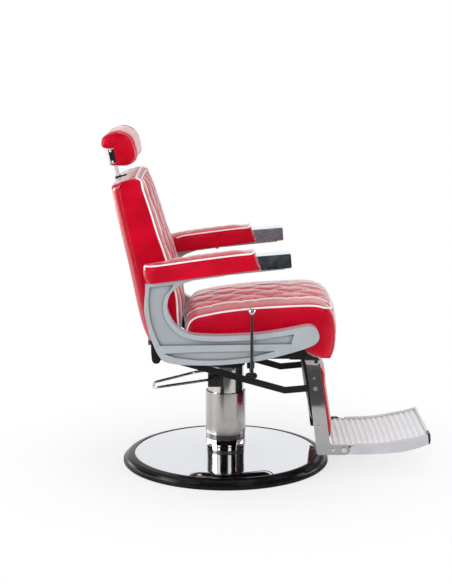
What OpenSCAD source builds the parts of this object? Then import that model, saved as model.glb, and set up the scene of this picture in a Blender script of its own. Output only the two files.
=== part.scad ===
// Hydraulic barber chair.
// Origin: centre of the round base on the floor. +Z is up, +X is the way the sitter faces,
// -Y is the sitter's right, where the recline lever is. Millimetres.

/* [Base] */
// Outer diameter of the rubber edge that stands on the floor
base_d = 680; // [600:5:740]
// Height of the rubber edge
edge_h = 30; // [24:1:36]
// Width of the rubber edge outside the chromed cover
edge_w = 38; // [34:1:46]
// Rise of the cover's dome above its rim
dome_rise = 32; // [20:1:40]
// Power of the dome's curve: 2 is an even bulge, more is a flatter top with a steeper rim
dome_power = 3.2; // [2:0.2:5]
// Thickness of the spun cover and of the sheet it is made from
cover_t = 3; // [2:0.5:4]
// Thickness of the cast weight plate
plate_t = 12; // [10:1:16]

/* [Column] */
// Outer diameter of the lower chrome sleeve
sleeve_d = 132; // [124:1:140]
// Height of the lower sleeve's top edge above the floor
sleeve_top = 238; // [225:1:250]
// Radial gap between the lower sleeve and the rising sleeve inside it
riser_gap = 3.5; // [3:0.5:8]
// Wall of both chrome sleeves
sleeve_wall = 2.5; // [2:0.5:3]
// Height of the rubber band above the foot collar
band_h = 18; // [12:1:24]
// Height of the foot collar
collar_h = 20; // [14:1:24]
// Outer diameter of the pump cylinder
pump_d = 90; // [84:1:94]
// Bore of the pump cylinder
pump_bore = 68; // [60:1:72]
// Diameter of the ram
ram_d = 50; // [44:1:54]
// Diameter of the swivel journal at the ram's top
journal_d = 40; // [34:1:42]
// Lift travel of the ram
lift_travel = 150; // [120:5:150]
// Height of the ram's shoulder with the chair down
ram_top = 326; // [320:1:332]

/* [Pump lever] */
// Diameter of the lever's chrome rod
lever_rod_d = 9; // [7:0.5:11]
// Width of the lever's hubs on their axles
hub_w = 11; // [8:1:14]
// Length of the lever behind its pivot
lever_len = 206; // [180:1:230]
// Fall of the lever to its tip, in degrees
lever_tilt = 8.4; // [4:0.2:12]
// Pivot of the lever behind the column's axis
lever_x = -33; // [-34:1:-20]
// Height of the lever's pivot
lever_z = 291; // [280:1:294]

/* [Seat frame] */
// Distance between the centres of the two rails
rail_gap = 400; // [390:1:404]
// Side of the square rails and cross members
rail_s = 25; // [20:1:25]
// Height of the rails' underside
rail_z = 391; // [388:1:396]
// Rear end of the rails
rail_x0 = -140; // [-150:1:-132]
// Front end of the rails
rail_x1 = 248; // [240:1:250]
// Distance from the column's axis to each cross member
member_x = 50; // [48:1:52]
// Thickness of the plywood seat board
board_t = 13; // [10:1:16]

/* [Seat cushion] */
// Width of the seat cushion
seat_w = 456; // [430:2:460]
// Width of the quilted panel of seat and backrest
quilt_w = 280; // [220:10:320]
// Length of one quilted diamond
quilt_len = 75; // [60:5:90]
// Depth of the quilting's stitched lines
quilt_depth = 5; // [2:0.5:7]
// Rise of the cushions' crown
crown = 13; // [6:1:16]
// Number of diamonds across the quilted panel
quilt_n = 4; // [3:1:5]

/* [Backrest] */
// Width of the backrest
back_w = 430; // [400:2:432]
// Height of the backrest's lower edge
back_z0 = 447; // [445:1:452]
// Height of the backrest's top at its rear edge
back_z1 = 940; // [900:5:980]
// Thickness of the rear panel
panel_t = 24; // [18:1:28]
// Recline pivot, back from the column's axis
pivot_x = -219; // [-222:1:-216]
// Height of the recline pivot
pivot_z = 482; // [478:1:486]
// Crank length from the recline pivot to the link pin
crank_len = 90; // [86:1:92]
// Full recline of the backrest, in degrees
recline_max = 35; // [20:1:35]

/* [Arms] */
// Distance from the middle to the outer face of each side frame
frame_y = 315; // [310:1:320]
// Thickness of the cast side frames
frame_t = 40; // [34:1:42]
// Depth of the pockets in the outer face
pocket_d = 9; // [4:1:14]
// Width of the arm pads
pad_w = 85; // [76:1:92]
// Height of the arm pads at their edge
pad_h = 54; // [44:1:60]
// Rear end of the arm pads
pad_x0 = -250; // [-256:1:-244]
// Front end of the arm pads at the top
pad_x1 = 80; // [60:1:84]
// Width of the chrome arm ends
end_w = 66; // [56:1:74]
// Height of the chrome arm ends
end_h = 43; // [36:1:46]
// Front of the chrome arm ends
end_x1 = 199; // [170:1:230]

/* [Linkage] */
// Distance from the middle to the centre of each link bar
link_y = 171; // [168:1:174]
// Thickness of link bars and leg bars
bar_t = 6; // [5:0.5:7]
// Depth of the link bars
link_h = 21; // [16:1:22]
// Diameter of the hinge pins
pin_d = 12; // [10:1:13]
// Front link pin, forward of the column's axis
link_x1 = 285; // [280:1:290]
// Height of the front link pin
link_z1 = 286; // [282:1:292]

/* [Footrest] */
// Width of the leg bars
leg_w = 38; // [32:1:42]
// Height of the footplate's hinge
foot_z = 82; // [74:1:90]
// Distance of the footplate's hinge from the column's axis
foot_x = 379; // [372:1:386]
// Front end of the footplate
foot_x1 = 648; // [600:2:680]
// Number of ribs on the footplate
rib_n = 16; // [10:1:20]
// Height of the ribs
rib_h = 3.5; // [2:0.5:5]
// Thickness of the footplate under its ribs
deck_t = 6; // [4:0.5:8]

/* [Headrest] */
// Width of the headrest
head_w = 290; // [240:2:320]
// Height of the headrest's tilt pivot above the backrest's top
head_rise = 80; // [76:1:100]
// Lean of the headrest post, in degrees
post_lean = 12; // [10:0.5:14]
// Thickness of the flat post
post_t = 10; // [8:0.5:11]
// Width of the flat post
post_w = 32; // [24:1:36]
// Travel of the headrest post
post_travel = 80; // [50:5:80]

/* [Recline lever] */
// Distance of the lever's shaft in front of the column's axis
shaft_x = 78; // [77:0.5:84]
// Height of the lever's shaft
shaft_z = 368; // [366:1:370]
// Diameter of the lever's shaft
shaft_d = 12; // [10:1:12]
// Height of the lever's ball
knob_z = 569; // [540:1:600]
// Diameter of the lever's ball
knob_d = 22; // [18:1:28]

/* [Fits] */
// Radial clearance of a running fit
run_fit = 0.06; // [0.03:0.01:0.09]
// Gap between pieces that face each other
gap = 0.3; // [0.2:0.05:0.4]
// Clearance of a bolt in its hole
bolt_fit = 0.4; // [0.2:0.1:0.6]

/* [Hidden] */

red = [0.74, 0.02, 0.1];
chrome = [0.8, 0.81, 0.83];
black = [0.09, 0.09, 0.1];
cast = [0.68, 0.72, 0.76];
rubber = [0.13, 0.13, 0.14];
steel = [0.55, 0.56, 0.58];
wood = [0.75, 0.6, 0.4];
alloy = [0.84, 0.85, 0.87];

$fn = 72;

// ---------- shared geometry ----------

// One point of a Catmull-Rom curve
function cr_point(a, b, c, d, t) =
    0.5 * (2 * b + (c - a) * t + (2 * a - 5 * b + 4 * c - d) * t * t + (3 * b - a - 3 * c + d) * t * t * t);
// Smooth open curve through the points p, with n steps to a span
function open_curve(p, n) = concat(
    [for (i = [0:len(p) - 2]) for (k = [0:n - 1])
        cr_point(p[max(i - 1, 0)], p[i], p[i + 1], p[min(i + 2, len(p) - 1)], k / n)],
    [p[len(p) - 1]]);
// Points of an arc about c from angle a0 to a1
function arc(c, r, a0, a1, n) =
    [for (i = [0:n]) c + r * [cos(a0 + (a1 - a0) * i / n), sin(a0 + (a1 - a0) * i / n)]];
// Running length along a list of points
function run_length(p, i = 0, acc = [0]) =
    i >= len(p) - 1 ? acc : run_length(p, i + 1, concat(acc, [acc[i] + norm(p[i + 1] - p[i])]));
// Index of the span that holds length s
function span_of(l, s, i = 0) = i >= len(l) - 2 || l[i + 1] >= s ? i : span_of(l, s, i + 1);
// n + 1 points evenly spaced along p
function even_points(p, n) =
    let (l = run_length(p), total = l[len(l) - 1])
    [for (k = [0:n])
        let (s = total * k / n, i = span_of(l, s))
        p[i] + (p[i + 1] - p[i]) * (s - l[i]) / max(l[i + 1] - l[i], 1e-6)];
// Left-hand normal at point i of an open list
function normal_at(p, i) =
    let (a = p[max(i - 1, 0)], b = p[min(i + 1, len(p) - 1)], t = (b - a) / norm(b - a))
    [-t[1], t[0]];
// The list moved sideways by d
function shifted(p, d) = [for (i = [0:len(p) - 1]) p[i] + d * normal_at(p, i)];
function reversed(p) = [for (i = [len(p) - 1:-1:0]) p[i]];
function smooth_step(t) = let (u = min(max(t, 0), 1)) u * u * (3 - 2 * u);

// Extrude a profile drawn in x and z from y0 to y1
module side_extrude(y0, y1) {
    translate([0, y1, 0])
        rotate([90, 0, 0])
            linear_extrude(y1 - y0)
                children();
}

// A shape made for the sitter's left, kept on the left (s = 1) or mirrored to the right (s = -1)
module on_side(s) {
    if (s < 0)
        mirror([0, 1, 0])
            children();
    else
        children();
}

// The same shape on both sides
module both_sides() {
    for (s = [-1, 1])
        on_side(s)
            children();
}

// Round bar along y
module y_pin(x, z, d, y0, y1) {
    translate([x, y1, z])
        rotate([90, 0, 0])
            cylinder(d = d, h = y1 - y0);
}

// Solid through a row of closed sections of equal length
module loft(sections) {
    n = len(sections[0]);
    m = len(sections);
    faces = concat(
        [[for (i = [0:n - 1]) i]],
        [for (j = [0:m - 2]) for (i = [0:n - 1])
            let (k = (i + 1) % n, a = j * n + i, b = (j + 1) * n + i, c = (j + 1) * n + k, d = j * n + k)
            each ((i + j) % 2 == 0 ? [[a, b, c], [a, c, d]] : [[a, b, d], [b, c, d]])],
        [[for (i = [n - 1:-1:0]) (m - 1) * n + i]]);
    polyhedron(points = [for (s = sections) each s], faces = faces);
}

// Stations across a cushion of half width h: four to a diamond, then close at the rounded edge
function quilt_stations(h) =
    let (q = quilt_w / 2, step = q / (2 * quilt_n), e = h - q, side = [0.5, 0.88, 0.965, 1])
    concat([for (i = [len(side) - 1:-1:0]) -(q + side[i] * e)],
           [for (i = [-2 * quilt_n:2 * quilt_n]) i * step],
           [for (v = side) q + v * e]);
// The outline as whole diamonds of four steps each
function quilt_points(outline) =
    let (p = open_curve(outline, 6), l = run_length(p))
    even_points(p, 4 * max(round(l[len(l) - 1] / quilt_len), 4));
// How far a section shrinks towards the side faces: a quarter round of radius r
function edge_inset(y, h, r) =
    let (t = max(abs(y) - (h - r), 0) / r) r * (1 - sqrt(max(1 - t * t, 0)));
// Height of the quilting at step i and width y: 0 on the stitched lines, 1 in each diamond
function quilt(i, y) =
    let (v = y * quilt_n / quilt_w)
    abs(y) > quilt_w / 2 + 0.01 ? 1 : sqrt(abs(sin(180 * (i / 4 + v)) * sin(180 * (i / 4 - v))));
// One section of a quilted cushion. top is the padded outline in x and z, base closes it
function quilt_section(top, base, y, h, r, s0, s1) =
    let (l = run_length(top), end = l[len(l) - 1] - s1, shrink = edge_inset(y, h, r), v = y / h,
         lift = crown * (1 - v * v))
    concat(
        [for (i = [0:len(top) - 1])
            let (nrm = normal_at(top, i),
                 w = smooth_step((l[i] - s0) / 60) * smooth_step((end - l[i]) / 60),
                 d = w * (lift - quilt_depth * (1 - quilt(i, y))) - shrink,
                 q = top[i] + d * nrm)
            [q[0], y, q[1]]],
        [for (p = base) [p[0], y, p[1]]]);

// ---------- derived sizes ----------

cover_r = base_d / 2 - edge_w;
cover_rim_z = edge_h - 2.5;
// Height of the cover's outer face at radius r
function cover_z(r) = cover_rim_z + dome_rise * (1 - pow(r / cover_r, dome_power));
plate_top = plate_t;
plate_r = cover_r - 5;
collar_z = cover_z(sleeve_d / 2 - 4) + gap;
band_z = collar_z + collar_h;
sleeve_z0 = band_z + band_h;
sleeve_bore = sleeve_d - 2 * sleeve_wall;
riser_d = sleeve_bore - 2 * riser_gap;
riser_z0 = sleeve_top - lift_travel - 16;
riser_bore = riser_d - 2 * sleeve_wall;
flange_t = 12;
flange_r = pump_d / 2 + 35;
flange_pcd = pump_d + 36;
bolt_d = 12;
pump_top = sleeve_top - 12;
gland_h = 10;
piston_z = 30;
piston_h = 26;
piston_d = pump_bore - 0.8;
seal_h = 8;
bearing_h = 8;
head_z0 = ram_top + gap;
head_disc_t = 12;
plate_z = rail_z - 29;
head_plate_t = 8;
head_hub_d = 80;
head_plate_x = member_x + 14;
head_plate_y = 70;
channel_y = 106;
member_z = rail_z;
channel_w = 27;
rail_top = rail_z + rail_s;
rail_y = rail_gap / 2;
rail_in = rail_y - rail_s / 2;
rail_out = rail_y + rail_s / 2;
board_z = rail_top + gap;
cushion_z = board_z + board_t + gap;
board_x0 = -116;
board_x1 = 238;
board_y = rail_out - 4;

// The crank hangs straight down from the recline pivot, and the leg's hinge lies the same way
// above the front link pin, so that the linkage is a parallelogram
link_x0 = pivot_x;
link_z0 = pivot_z - crank_len;
leg_x = link_x1;
leg_z = link_z1 + crank_len;
foot_w = 2 * (link_y - bar_t / 2 - 14);
upright_y = back_w / 2 + 14;
link_y0 = link_y - bar_t / 2 - bar_t - 1.5;
plate_y = back_w / 2 + 2.5;
hinge_t = 6;

// Line of the arms: underside and top edge of the pads
arm_slope = 0.13;
arm_z = 680;
function pad_under(x) = arm_z + arm_slope * x;
arm_y = frame_y - frame_t / 2 - 8;
tongue_t = 6;
tongue_w = 20;
end_slope = 0.087;

// Post line through the headrest's tilt pivot
head_x = -362;
head_z = back_z1 + head_rise;
function post_x(z) = head_x - (z - head_z) * tan(post_lean);

// ---------- base ----------

module base_edge() {
    r = base_d / 2;
    inner = cover_r + gap;
    color(rubber)
        rotate_extrude($fn = 144)
            polygon([
                [plate_r + gap, 0], [r - 3, 0], [r, 3], [r, 9], [r - 3, 11], [r - 6, 12], [r - 7, 15],
                [r - 11, 21], [r - 20, 27], [r - 32, edge_h], [inner, edge_h],
                [inner, plate_top + gap], [plate_r + gap, plate_top + gap]
            ]);
}

module base_cover() {
    steps = 36;
    r0 = sleeve_d / 2 - 6;
    top = [for (i = [0:steps]) let (r = cover_r + (r0 - cover_r) * i / steps) [r, cover_z(r)]];
    under = [for (i = [steps:-2:2]) let (r = cover_r + (r0 - cover_r) * i / steps) [r, cover_z(r) - cover_t]];
    color(chrome)
        rotate_extrude($fn = 144)
            polygon(concat(top, under, [
                [cover_r - cover_t, cover_rim_z - cover_t + 1], [cover_r - cover_t, plate_top + 2 * gap],
                [cover_r, plate_top + 2 * gap]
            ]));
}

module flange_holes(d, z0, z1) {
    for (a = [45:90:315])
        rotate([0, 0, a])
            translate([flange_pcd / 2, 0, z0])
                cylinder(d = d, h = z1 - z0);
}

module base_plate() {
    color(black)
        difference() {
            cylinder(r = plate_r, h = plate_t, $fn = 144);
            flange_holes(bolt_d + bolt_fit, -1, plate_top + 1);
        }
}

module pump_cylinder() {
    z0 = plate_top + gap;
    color(steel)
        difference() {
            union() {
                translate([0, 0, z0])
                    cylinder(r = flange_r, h = flange_t);
                translate([0, 0, z0])
                    cylinder(d = pump_d, h = pump_top - z0);
            }
            translate([0, 0, z0 + flange_t])
                cylinder(d = pump_bore, h = pump_top);
            flange_holes(bolt_d + bolt_fit, z0 - 1, z0 + flange_t + 1);
        }
}

module pump_gland() {
    spigot = 16;
    color(black)
        difference() {
            union() {
                translate([0, 0, pump_top + gap])
                    cylinder(d = pump_d, h = gland_h);
                translate([0, 0, pump_top - spigot])
                    cylinder(d = pump_bore - 2 * gap, h = spigot + gland_h);
            }
            translate([0, 0, pump_top - spigot - 1])
                cylinder(d = ram_d + 2 * run_fit, h = spigot + gland_h + 2);
        }
}

module pump_bolts() {
    z = plate_top + 2 * gap + flange_t;
    color(steel)
        for (a = [45:90:315])
            rotate([0, 0, a])
                translate([flange_pcd / 2, 0, 0]) {
                    translate([0, 0, 1])
                        cylinder(d = bolt_d, h = z);
                    translate([0, 0, z])
                        cylinder(d = bolt_d * 1.7, h = 8, $fn = 6);
                }
}

module ring(d_out, d_in, z0, h) {
    difference() {
        translate([0, 0, z0])
            cylinder(d = d_out, h = h);
        translate([0, 0, z0 - 1])
            cylinder(d = d_in, h = h + 2);
    }
}

module column_sleeve() {
    color(chrome)
        ring(sleeve_d, sleeve_bore, sleeve_z0, sleeve_top - sleeve_z0);
}

module column_band() {
    color(rubber)
        ring(sleeve_d - 3, riser_d + 3, band_z + gap, band_h - 2 * gap);
}

module column_collar() {
    foot = 4;
    color(chrome)
        difference() {
            union() {
                translate([0, 0, collar_z])
                    cylinder(d1 = sleeve_d + 4, d2 = sleeve_d, h = foot);
                translate([0, 0, collar_z + foot])
                    cylinder(d = sleeve_d, h = collar_h - foot);
            }
            translate([0, 0, collar_z - 1])
                cylinder(d = riser_d + 3, h = collar_h + 2);
        }
}

module sleeve_wiper() {
    color(rubber)
        ring(sleeve_bore - 2 * gap, riser_d + 2 * gap, sleeve_top - 10, 10);
}

// ---------- ram ----------

module ram() {
    neck = journal_d / 2;
    top = plate_z + head_plate_t + 14;
    groove = piston_z + (piston_h - seal_h) / 2;
    color(chrome)
        rotate_extrude()
            polygon([
                [0, piston_z], [piston_d / 2, piston_z], [piston_d / 2, groove],
                [piston_d / 2 - 4, groove], [piston_d / 2 - 4, groove + seal_h],
                [piston_d / 2, groove + seal_h], [piston_d / 2, piston_z + piston_h],
                [ram_d / 2, piston_z + piston_h], [ram_d / 2, ram_top - 2], [ram_d / 2, ram_top],
                [neck, ram_top], [neck, top - 2], [neck - 2, top], [0, top]
            ]);
}

module piston_seal() {
    groove = piston_z + (piston_h - seal_h) / 2;
    color(rubber)
        ring(pump_bore - 2 * run_fit, piston_d - 8 + 2 * gap, groove + gap, seal_h - 2 * gap);
}

module thrust_bearing() {
    color(steel)
        ring(ram_d + 14, journal_d + 2 * gap, ram_top + gap, bearing_h - gap);
}

module swivel_nut() {
    z = plate_z + head_plate_t + gap;
    color(steel)
        difference() {
            translate([0, 0, z])
                cylinder(d = journal_d * 1.45, h = 11, $fn = 6);
            translate([0, 0, z - 1])
                cylinder(d = journal_d + 2 * run_fit, h = 14);
        }
}

// ---------- carriage ----------

module riser_sleeve() {
    color(chrome)
        ring(riser_d, riser_bore, riser_z0, ram_top - riser_z0);
}

module swivel_head() {
    top = plate_z + head_plate_t;
    color(black)
        difference() {
            union() {
                translate([0, 0, head_z0])
                    cylinder(d = riser_d + 8, h = head_disc_t);
                translate([0, 0, head_z0 + head_disc_t])
                    cylinder(d = head_hub_d, h = plate_z - head_z0 - head_disc_t);
                translate([-head_plate_x, -head_plate_y, plate_z])
                    cube([2 * head_plate_x, 2 * head_plate_y, head_plate_t]);
            }
            translate([0, 0, head_z0 - 1])
                cylinder(d = ram_d + 14 + 2 * gap, h = ram_top + bearing_h + gap - head_z0 + 1);
            translate([0, 0, head_z0])
                cylinder(d = journal_d + 2 * run_fit, h = top);
        }
}

// Box channel between the swivel head and the seat frame, at x
module mount_channel(x) {
    z0 = plate_z + head_plate_t + gap;
    wall = 4;
    h = rail_z - gap - z0;
    difference() {
        translate([x - channel_w / 2, -channel_y, z0])
            cube([channel_w, 2 * channel_y, h]);
        translate([x - channel_w / 2 + wall, -channel_y - 1, z0 + wall])
            cube([channel_w - 2 * wall, 2 * channel_y + 2, h - 2 * wall]);
    }
}

module front_channel() {
    color(red)
        mount_channel(member_x);
}

module rear_channel() {
    color(black)
        mount_channel(-member_x);
}

module seat_rails() {
    color(black)
        both_sides()
            translate([rail_x0, rail_in, rail_z])
                cube([rail_x1 - rail_x0, rail_s, rail_s]);
}

module cross_members() {
    hole = release_d + 1;
    y = rail_in - gap;
    color(black)
        difference() {
            for (x = [-member_x, member_x])
                translate([x - rail_s / 2, -y, rail_z])
                    cube([rail_s, 2 * y, rail_s]);
            translate([-member_x - rail_s, 0, lock_z])
                rotate([0, 90, 0])
                    cylinder(d = hole, h = 2 * member_x + 2 * rail_s);
        }
}

module seat_board() {
    color(wood)
        translate([board_x0, -board_y, board_z])
            cube([board_x1 - board_x0, 2 * board_y, board_t]);
}

// Side outline of the seat, from the rear lower edge over the top to the front lower edge
seat_outline = [
    [-122, cushion_z], [-125, 470], [-119, 505], [-98, 527], [-60, 537], [0, 548], [90, 558], [190, 564],
    [270, 566], [312, 557], [333, 535], [341, 495], [342, 450], [337, 412], [327, 394]
];
seat_round = 6;

module seat_cushion() {
    h = seat_w / 2;
    top = quilt_points(seat_outline);
    under = [[300, 397], [264, 412], [240, cushion_z], [60, cushion_z]];
    color(red)
        loft([for (y = quilt_stations(h)) quilt_section(top, under, y, h, seat_round, 20, 40)]);
}

// Outline of the side casting from the top of its rear edge, down and forward along the foot,
// round the nose and back over the lower bar into the open gap
frame_outline = [
    [-247, 620], [-251, 569], [-244, 530], [-230, 475], [-203, 418], [-172, 401], [-111, 395], [-10, 396],
    [104, 409], [196, 432], [257, 452], [281, 469], [285, 490], [273, 511], [250, 517], [211, 510],
    [119, 494], [12, 487], [-60, 487], [-117, 494], [-156, 519], [-177, 560], [-179, 590], [-168, 620],
    [-140, 645], [-100, 660]
];
tongue_x = -5;
// Upper pocket, between the rims and above the rib
pocket_rear = [[-232, 640], [-237, 600], [-234, 553], [-224, 506], [-203, 456]];
pocket_front = [
    [208, 492], [104, 476], [-4, 470], [-80, 472], [-126, 481], [-157, 501], [-184, 535], [-193, 575],
    [-186, 609], [-168, 632]
];
pocket_end = [200, 461];
// Lower pocket, lens-shaped, below the rib
lens_top = [[-191, 431], [-60, 437], [150, 439]];
lens_bottom = [[73, 419], [-4, 411], [-80, 410], [-157, 418]];

// Underside of the arm pad's seat on the casting
function seat_under(x) = pad_under(x) - tongue_t;

module frame_profile() {
    edge = open_curve(frame_outline, 5);
    polygon(concat(edge, [
        [tongue_x, seat_under(tongue_x)], [tongue_x, pad_under(tongue_x)], [-246, pad_under(-246)]
    ]));
}

module pocket_profile() {
    polygon(concat(
        open_curve(pocket_rear, 5), [pocket_end], open_curve(pocket_front, 5),
        [[-160, seat_under(-160) - 6], [-229, seat_under(-229) - 6]]));
}

module lens_profile() {
    polygon(concat(open_curve(lens_top, 5), open_curve(lens_bottom, 5)));
}

// Bolts that hold the side casting on the seat frame's brackets
bracket_x = [-60, 218];
bracket_w = 42;
frame_bolt_z = [[bracket_x[0], 422], [bracket_x[0], 454], [bracket_x[1], 462], [bracket_x[1], 488]];
frame_bolt_d = 8;

module side_frame(s) {
    color(cast)
        on_side(s)
            difference() {
                union() {
                    side_extrude(frame_y - frame_t, frame_y)
                        frame_profile();
                    side_extrude(arm_y - tongue_w, arm_y + tongue_w)
                        polygon([
                            [tongue_x - 1, seat_under(tongue_x)], [end_x1 - 20, seat_under(tongue_x) + 19],
                            [end_x1 - 20, seat_under(tongue_x) + 22], [104, pad_under(104) - 0.5],
                            [tongue_x - 1, pad_under(tongue_x) - 0.2]
                        ]);
                }
                side_extrude(frame_y - pocket_d, frame_y + 1)
                    pocket_profile();
                side_extrude(frame_y - pocket_d, frame_y + 1)
                    lens_profile();
                for (p = frame_bolt_z)
                    y_pin(p[0], p[1], frame_bolt_d + bolt_fit, frame_y - frame_t - 1, frame_y - frame_t + 16);
                for (i = [0, 1])
                    translate([screw_x[i], arm_y, seat_under(screw_x[i])]) {
                        translate([0, 0, -30])
                            cylinder(d = screw_d + bolt_fit, h = 60, $fn = 32);
                        translate([0, 0, -screw_boss[i] - 40])
                            cylinder(d = screw_head + 2 * bolt_fit, h = 40 + gap, $fn = 32);
                    }
            }
}

module side_frame_right() { side_frame(-1); }
module side_frame_left() { side_frame(1); }

// Screws that go up through the casting into the arm pads
screw_x = [-166, -28];
screw_d = 6;
screw_head = 11;
screw_boss = [14, gap];

module arm_screws() {
    color(black)
        both_sides()
            for (i = [0, 1])
                translate([screw_x[i], arm_y, 0]) {
                    head_top = seat_under(screw_x[i]) - screw_boss[i] - gap;
                    translate([0, 0, head_top - 4])
                        cylinder(d = screw_head, h = 4, $fn = 32);
                    translate([0, 0, head_top - 1])
                        cylinder(d = screw_d, h = pad_under(screw_x[i]) - head_top + 10, $fn = 32);
                }
}

// Section of an arm pad: a crowned, round-edged box on the sloping arm. Its front leans back
function pad_section(x, k, slant) =
    let (r = [12, 5], n = 4, up = 4, w = pad_w, h = pad_h, nose = max(26 - (x - pad_x0), 0),
         heel = 26 - sqrt(26 * 26 - nose * nose))
    [for (c = [[1, 1, 0, 0], [-1, 1, 90, 0], [-1, -1, 180, 1], [1, -1, 270, 1]])
        for (a = [0:n])
            let (t = c[2] + 90 * a / n, q = r[c[3]],
                 y = c[0] * (w / 2 - q) + q * cos(t),
                 z = h / 2 + c[1] * (h / 2 - q) + q * sin(t),
                 rise = z > h / 2 ? up * (1 - pow(2 * y / w, 2)) : heel * (1 - 2 * z / h),
                 xa = x + slant * (h - z))
            [xa, arm_y + y * (1 - k), pad_under(xa) + gap + h / 2 + (z + rise - h / 2) * (1 - k)]];

module arm_pad(s) {
    ends = [[0, 0.12], [0.01, 0.045], [0.03, 0.012], [0.07, 0]];
    body = [for (i = [1:7]) 0.07 + 0.86 * i / 7];
    front = [[0.97, 0.008], [0.99, 0.03], [1, 0.07]];
    stations = concat(ends, [for (u = body) [u, 0]], front);
    color(red)
        on_side(s)
            difference() {
                loft([for (p = stations)
                    let (x = pad_x0 + (pad_x1 - pad_x0) * p[0])
                    pad_section(x, p[1], 0.42 * smooth_step((p[0] - 0.6) / 0.4))]);
                for (x = screw_x)
                    translate([x, arm_y, pad_under(x) - 10])
                        cylinder(d = screw_d + 2 * bolt_fit, h = 24, $fn = 32);
            }
}

module arm_pad_right() { arm_pad(-1); }
module arm_pad_left() { arm_pad(1); }

module arm_end(s) {
    z0 = seat_under(tongue_x) + 18;
    x0 = pad_x1 + 26;
    z1 = z0 + end_slope * (end_x1 - x0);
    r = 3;
    color(chrome)
        on_side(s)
            difference() {
                side_extrude(arm_y - end_w / 2, arm_y + end_w / 2)
                    polygon([
                        [x0, z0], [end_x1 - r, z1 - 1], [end_x1, z1 + r], [end_x1 - 3, z1 + end_h - r],
                        [end_x1 - 3 - r, z1 + end_h], [x0 - 0.5 * end_h + 8, z0 + end_h]
                    ]);
                side_extrude(arm_y - tongue_w - gap, arm_y + tongue_w + gap)
                    polygon([
                        [x0 - 40, z0 - 9], [end_x1 - 20 + gap, z0 - 2], [end_x1 - 20 + gap, z0 + 5 + gap],
                        [x0 - 40, z0 + 5]
                    ]);
            }
}

module arm_end_right() { arm_end(-1); }
module arm_end_left() { arm_end(1); }

module frame_brackets() {
    leg = 6;
    y1 = frame_y - frame_t - gap;
    z0 = rail_z + 12;
    tops = [466, 500];
    color(black)
        both_sides()
            for (i = [0, 1])
                difference() {
                    union() {
                        translate([bracket_x[i] - bracket_w / 2, rail_out + gap, z0])
                            cube([bracket_w, y1 - rail_out - gap, leg]);
                        translate([bracket_x[i] - bracket_w / 2, y1 - leg, z0])
                            cube([bracket_w, leg, tops[i] - z0]);
                    }
                    for (p = frame_bolt_z)
                        y_pin(p[0], p[1], frame_bolt_d + bolt_fit, y1 - leg - 1, y1 + 1);
                }
}

module frame_bolts() {
    y1 = frame_y - frame_t - gap - 6 - gap;
    color(steel)
        both_sides()
            for (p = frame_bolt_z) {
                y_pin(p[0], p[1], frame_bolt_d, y1 - 1, y1 + 20);
                translate([p[0], y1, p[1]])
                    rotate([90, 0, 0])
                        cylinder(d = frame_bolt_d * 1.75, h = 5, $fn = 6);
            }
}

upright_l = 34;

module hinge_uprights() {
    hole = pin_d + 2 * run_fit;
    color(black)
        both_sides()
            difference() {
                union() {
                    side_extrude(upright_y, upright_y + hinge_t)
                        polygon(concat(
                            [[rail_x0 + 2, rail_z], [rail_x0 + upright_l, rail_z],
                             [rail_x0 + upright_l, rail_top + 8], [rail_x0 + 12, rail_top + 22]],
                            arc([pivot_x, pivot_z], 18, 30, 215, 12)));
                    translate([rail_x0 + 2, rail_out + gap, rail_z])
                        cube([upright_l - 2, upright_y - rail_out, rail_s]);
                }
                y_pin(pivot_x, pivot_z, hole, upright_y - 1, upright_y + hinge_t + 1);
            }
}

module footrest_ears() {
    y0 = rail_in - gap - hinge_t;
    hole = pin_d + 2 * run_fit;
    color(black)
        both_sides()
            difference() {
                side_extrude(y0, y0 + hinge_t)
                    polygon(concat(
                        [[rail_x1 - 26, rail_z], [leg_x - 41, rail_z], [leg_x - 31, leg_z - 9]],
                        arc([leg_x, leg_z], 12, 250, 400, 10),
                        [[rail_x1 + 10, rail_z + 10], [rail_x1, rail_top - 2], [rail_x1 - 26, rail_top - 2]]));
                y_pin(leg_x, leg_z, hole, y0 - 1, y0 + hinge_t + 1);
            }
}

// Lugs on the rising sleeve with the stub axles of the pump lever
lug_y = riser_d / 2 + 1.6;
axle_d = 10;

module lever_lugs() {
    color(black)
        both_sides() {
            difference() {
                translate([lever_x - 25, 30, lever_z - 29])
                    cube([49, lug_y - 30, 44]);
                cylinder(d = riser_d + 2 * gap, h = 2 * lever_z);
            }
            y_pin(lever_x, lever_z, axle_d, lug_y - 1, lug_y + 15);
        }
}

// The loop of rod has one straight leg, and one that leans in towards the tip
module pump_lever() {
    r = lever_rod_d / 2;
    y = lug_y + gap + hub_w / 2;
    bend = 22;
    lean = 24;
    tip_y = -8;
    leg_end = -axle_d + 1;
    near = [bend - lever_len, bend - y];
    far = [bend - lever_len, tip_y];
    slant = (y - bend - tip_y) / sin(lean);
    knee = far + slant * [cos(lean), sin(lean)];
    start = far + bend * [-sin(lean), cos(lean)];
    color(chrome) {
        both_sides()
            difference() {
                y_pin(lever_x, lever_z, 2 * axle_d, y - hub_w / 2, y + hub_w / 2);
                y_pin(lever_x, lever_z, axle_d + 2 * run_fit, y - hub_w, y + hub_w);
            }
        translate([lever_x, 0, lever_z])
            rotate([0, -lever_tilt, 0]) {
                rod(r, [near[0], -y], 0, leg_end - near[0]);
                rod_bend(r, near, bend, 180, 90);
                rod(r, [-lever_len, near[1]], 90, tip_y - near[1]);
                rod_bend(r, far, bend, 90 + lean, 90 - lean);
                rod(r, start, lean, slant);
                rod_bend(r, knee, bend, 90, lean);
                rod(r, [knee[0], y], 0, leg_end - knee[0]);
            }
    }
}

// How far a straight rod runs into its bends, and how much fuller the bends are
rod_lap = 0.5;
bend_swell = 0.02;

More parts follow.
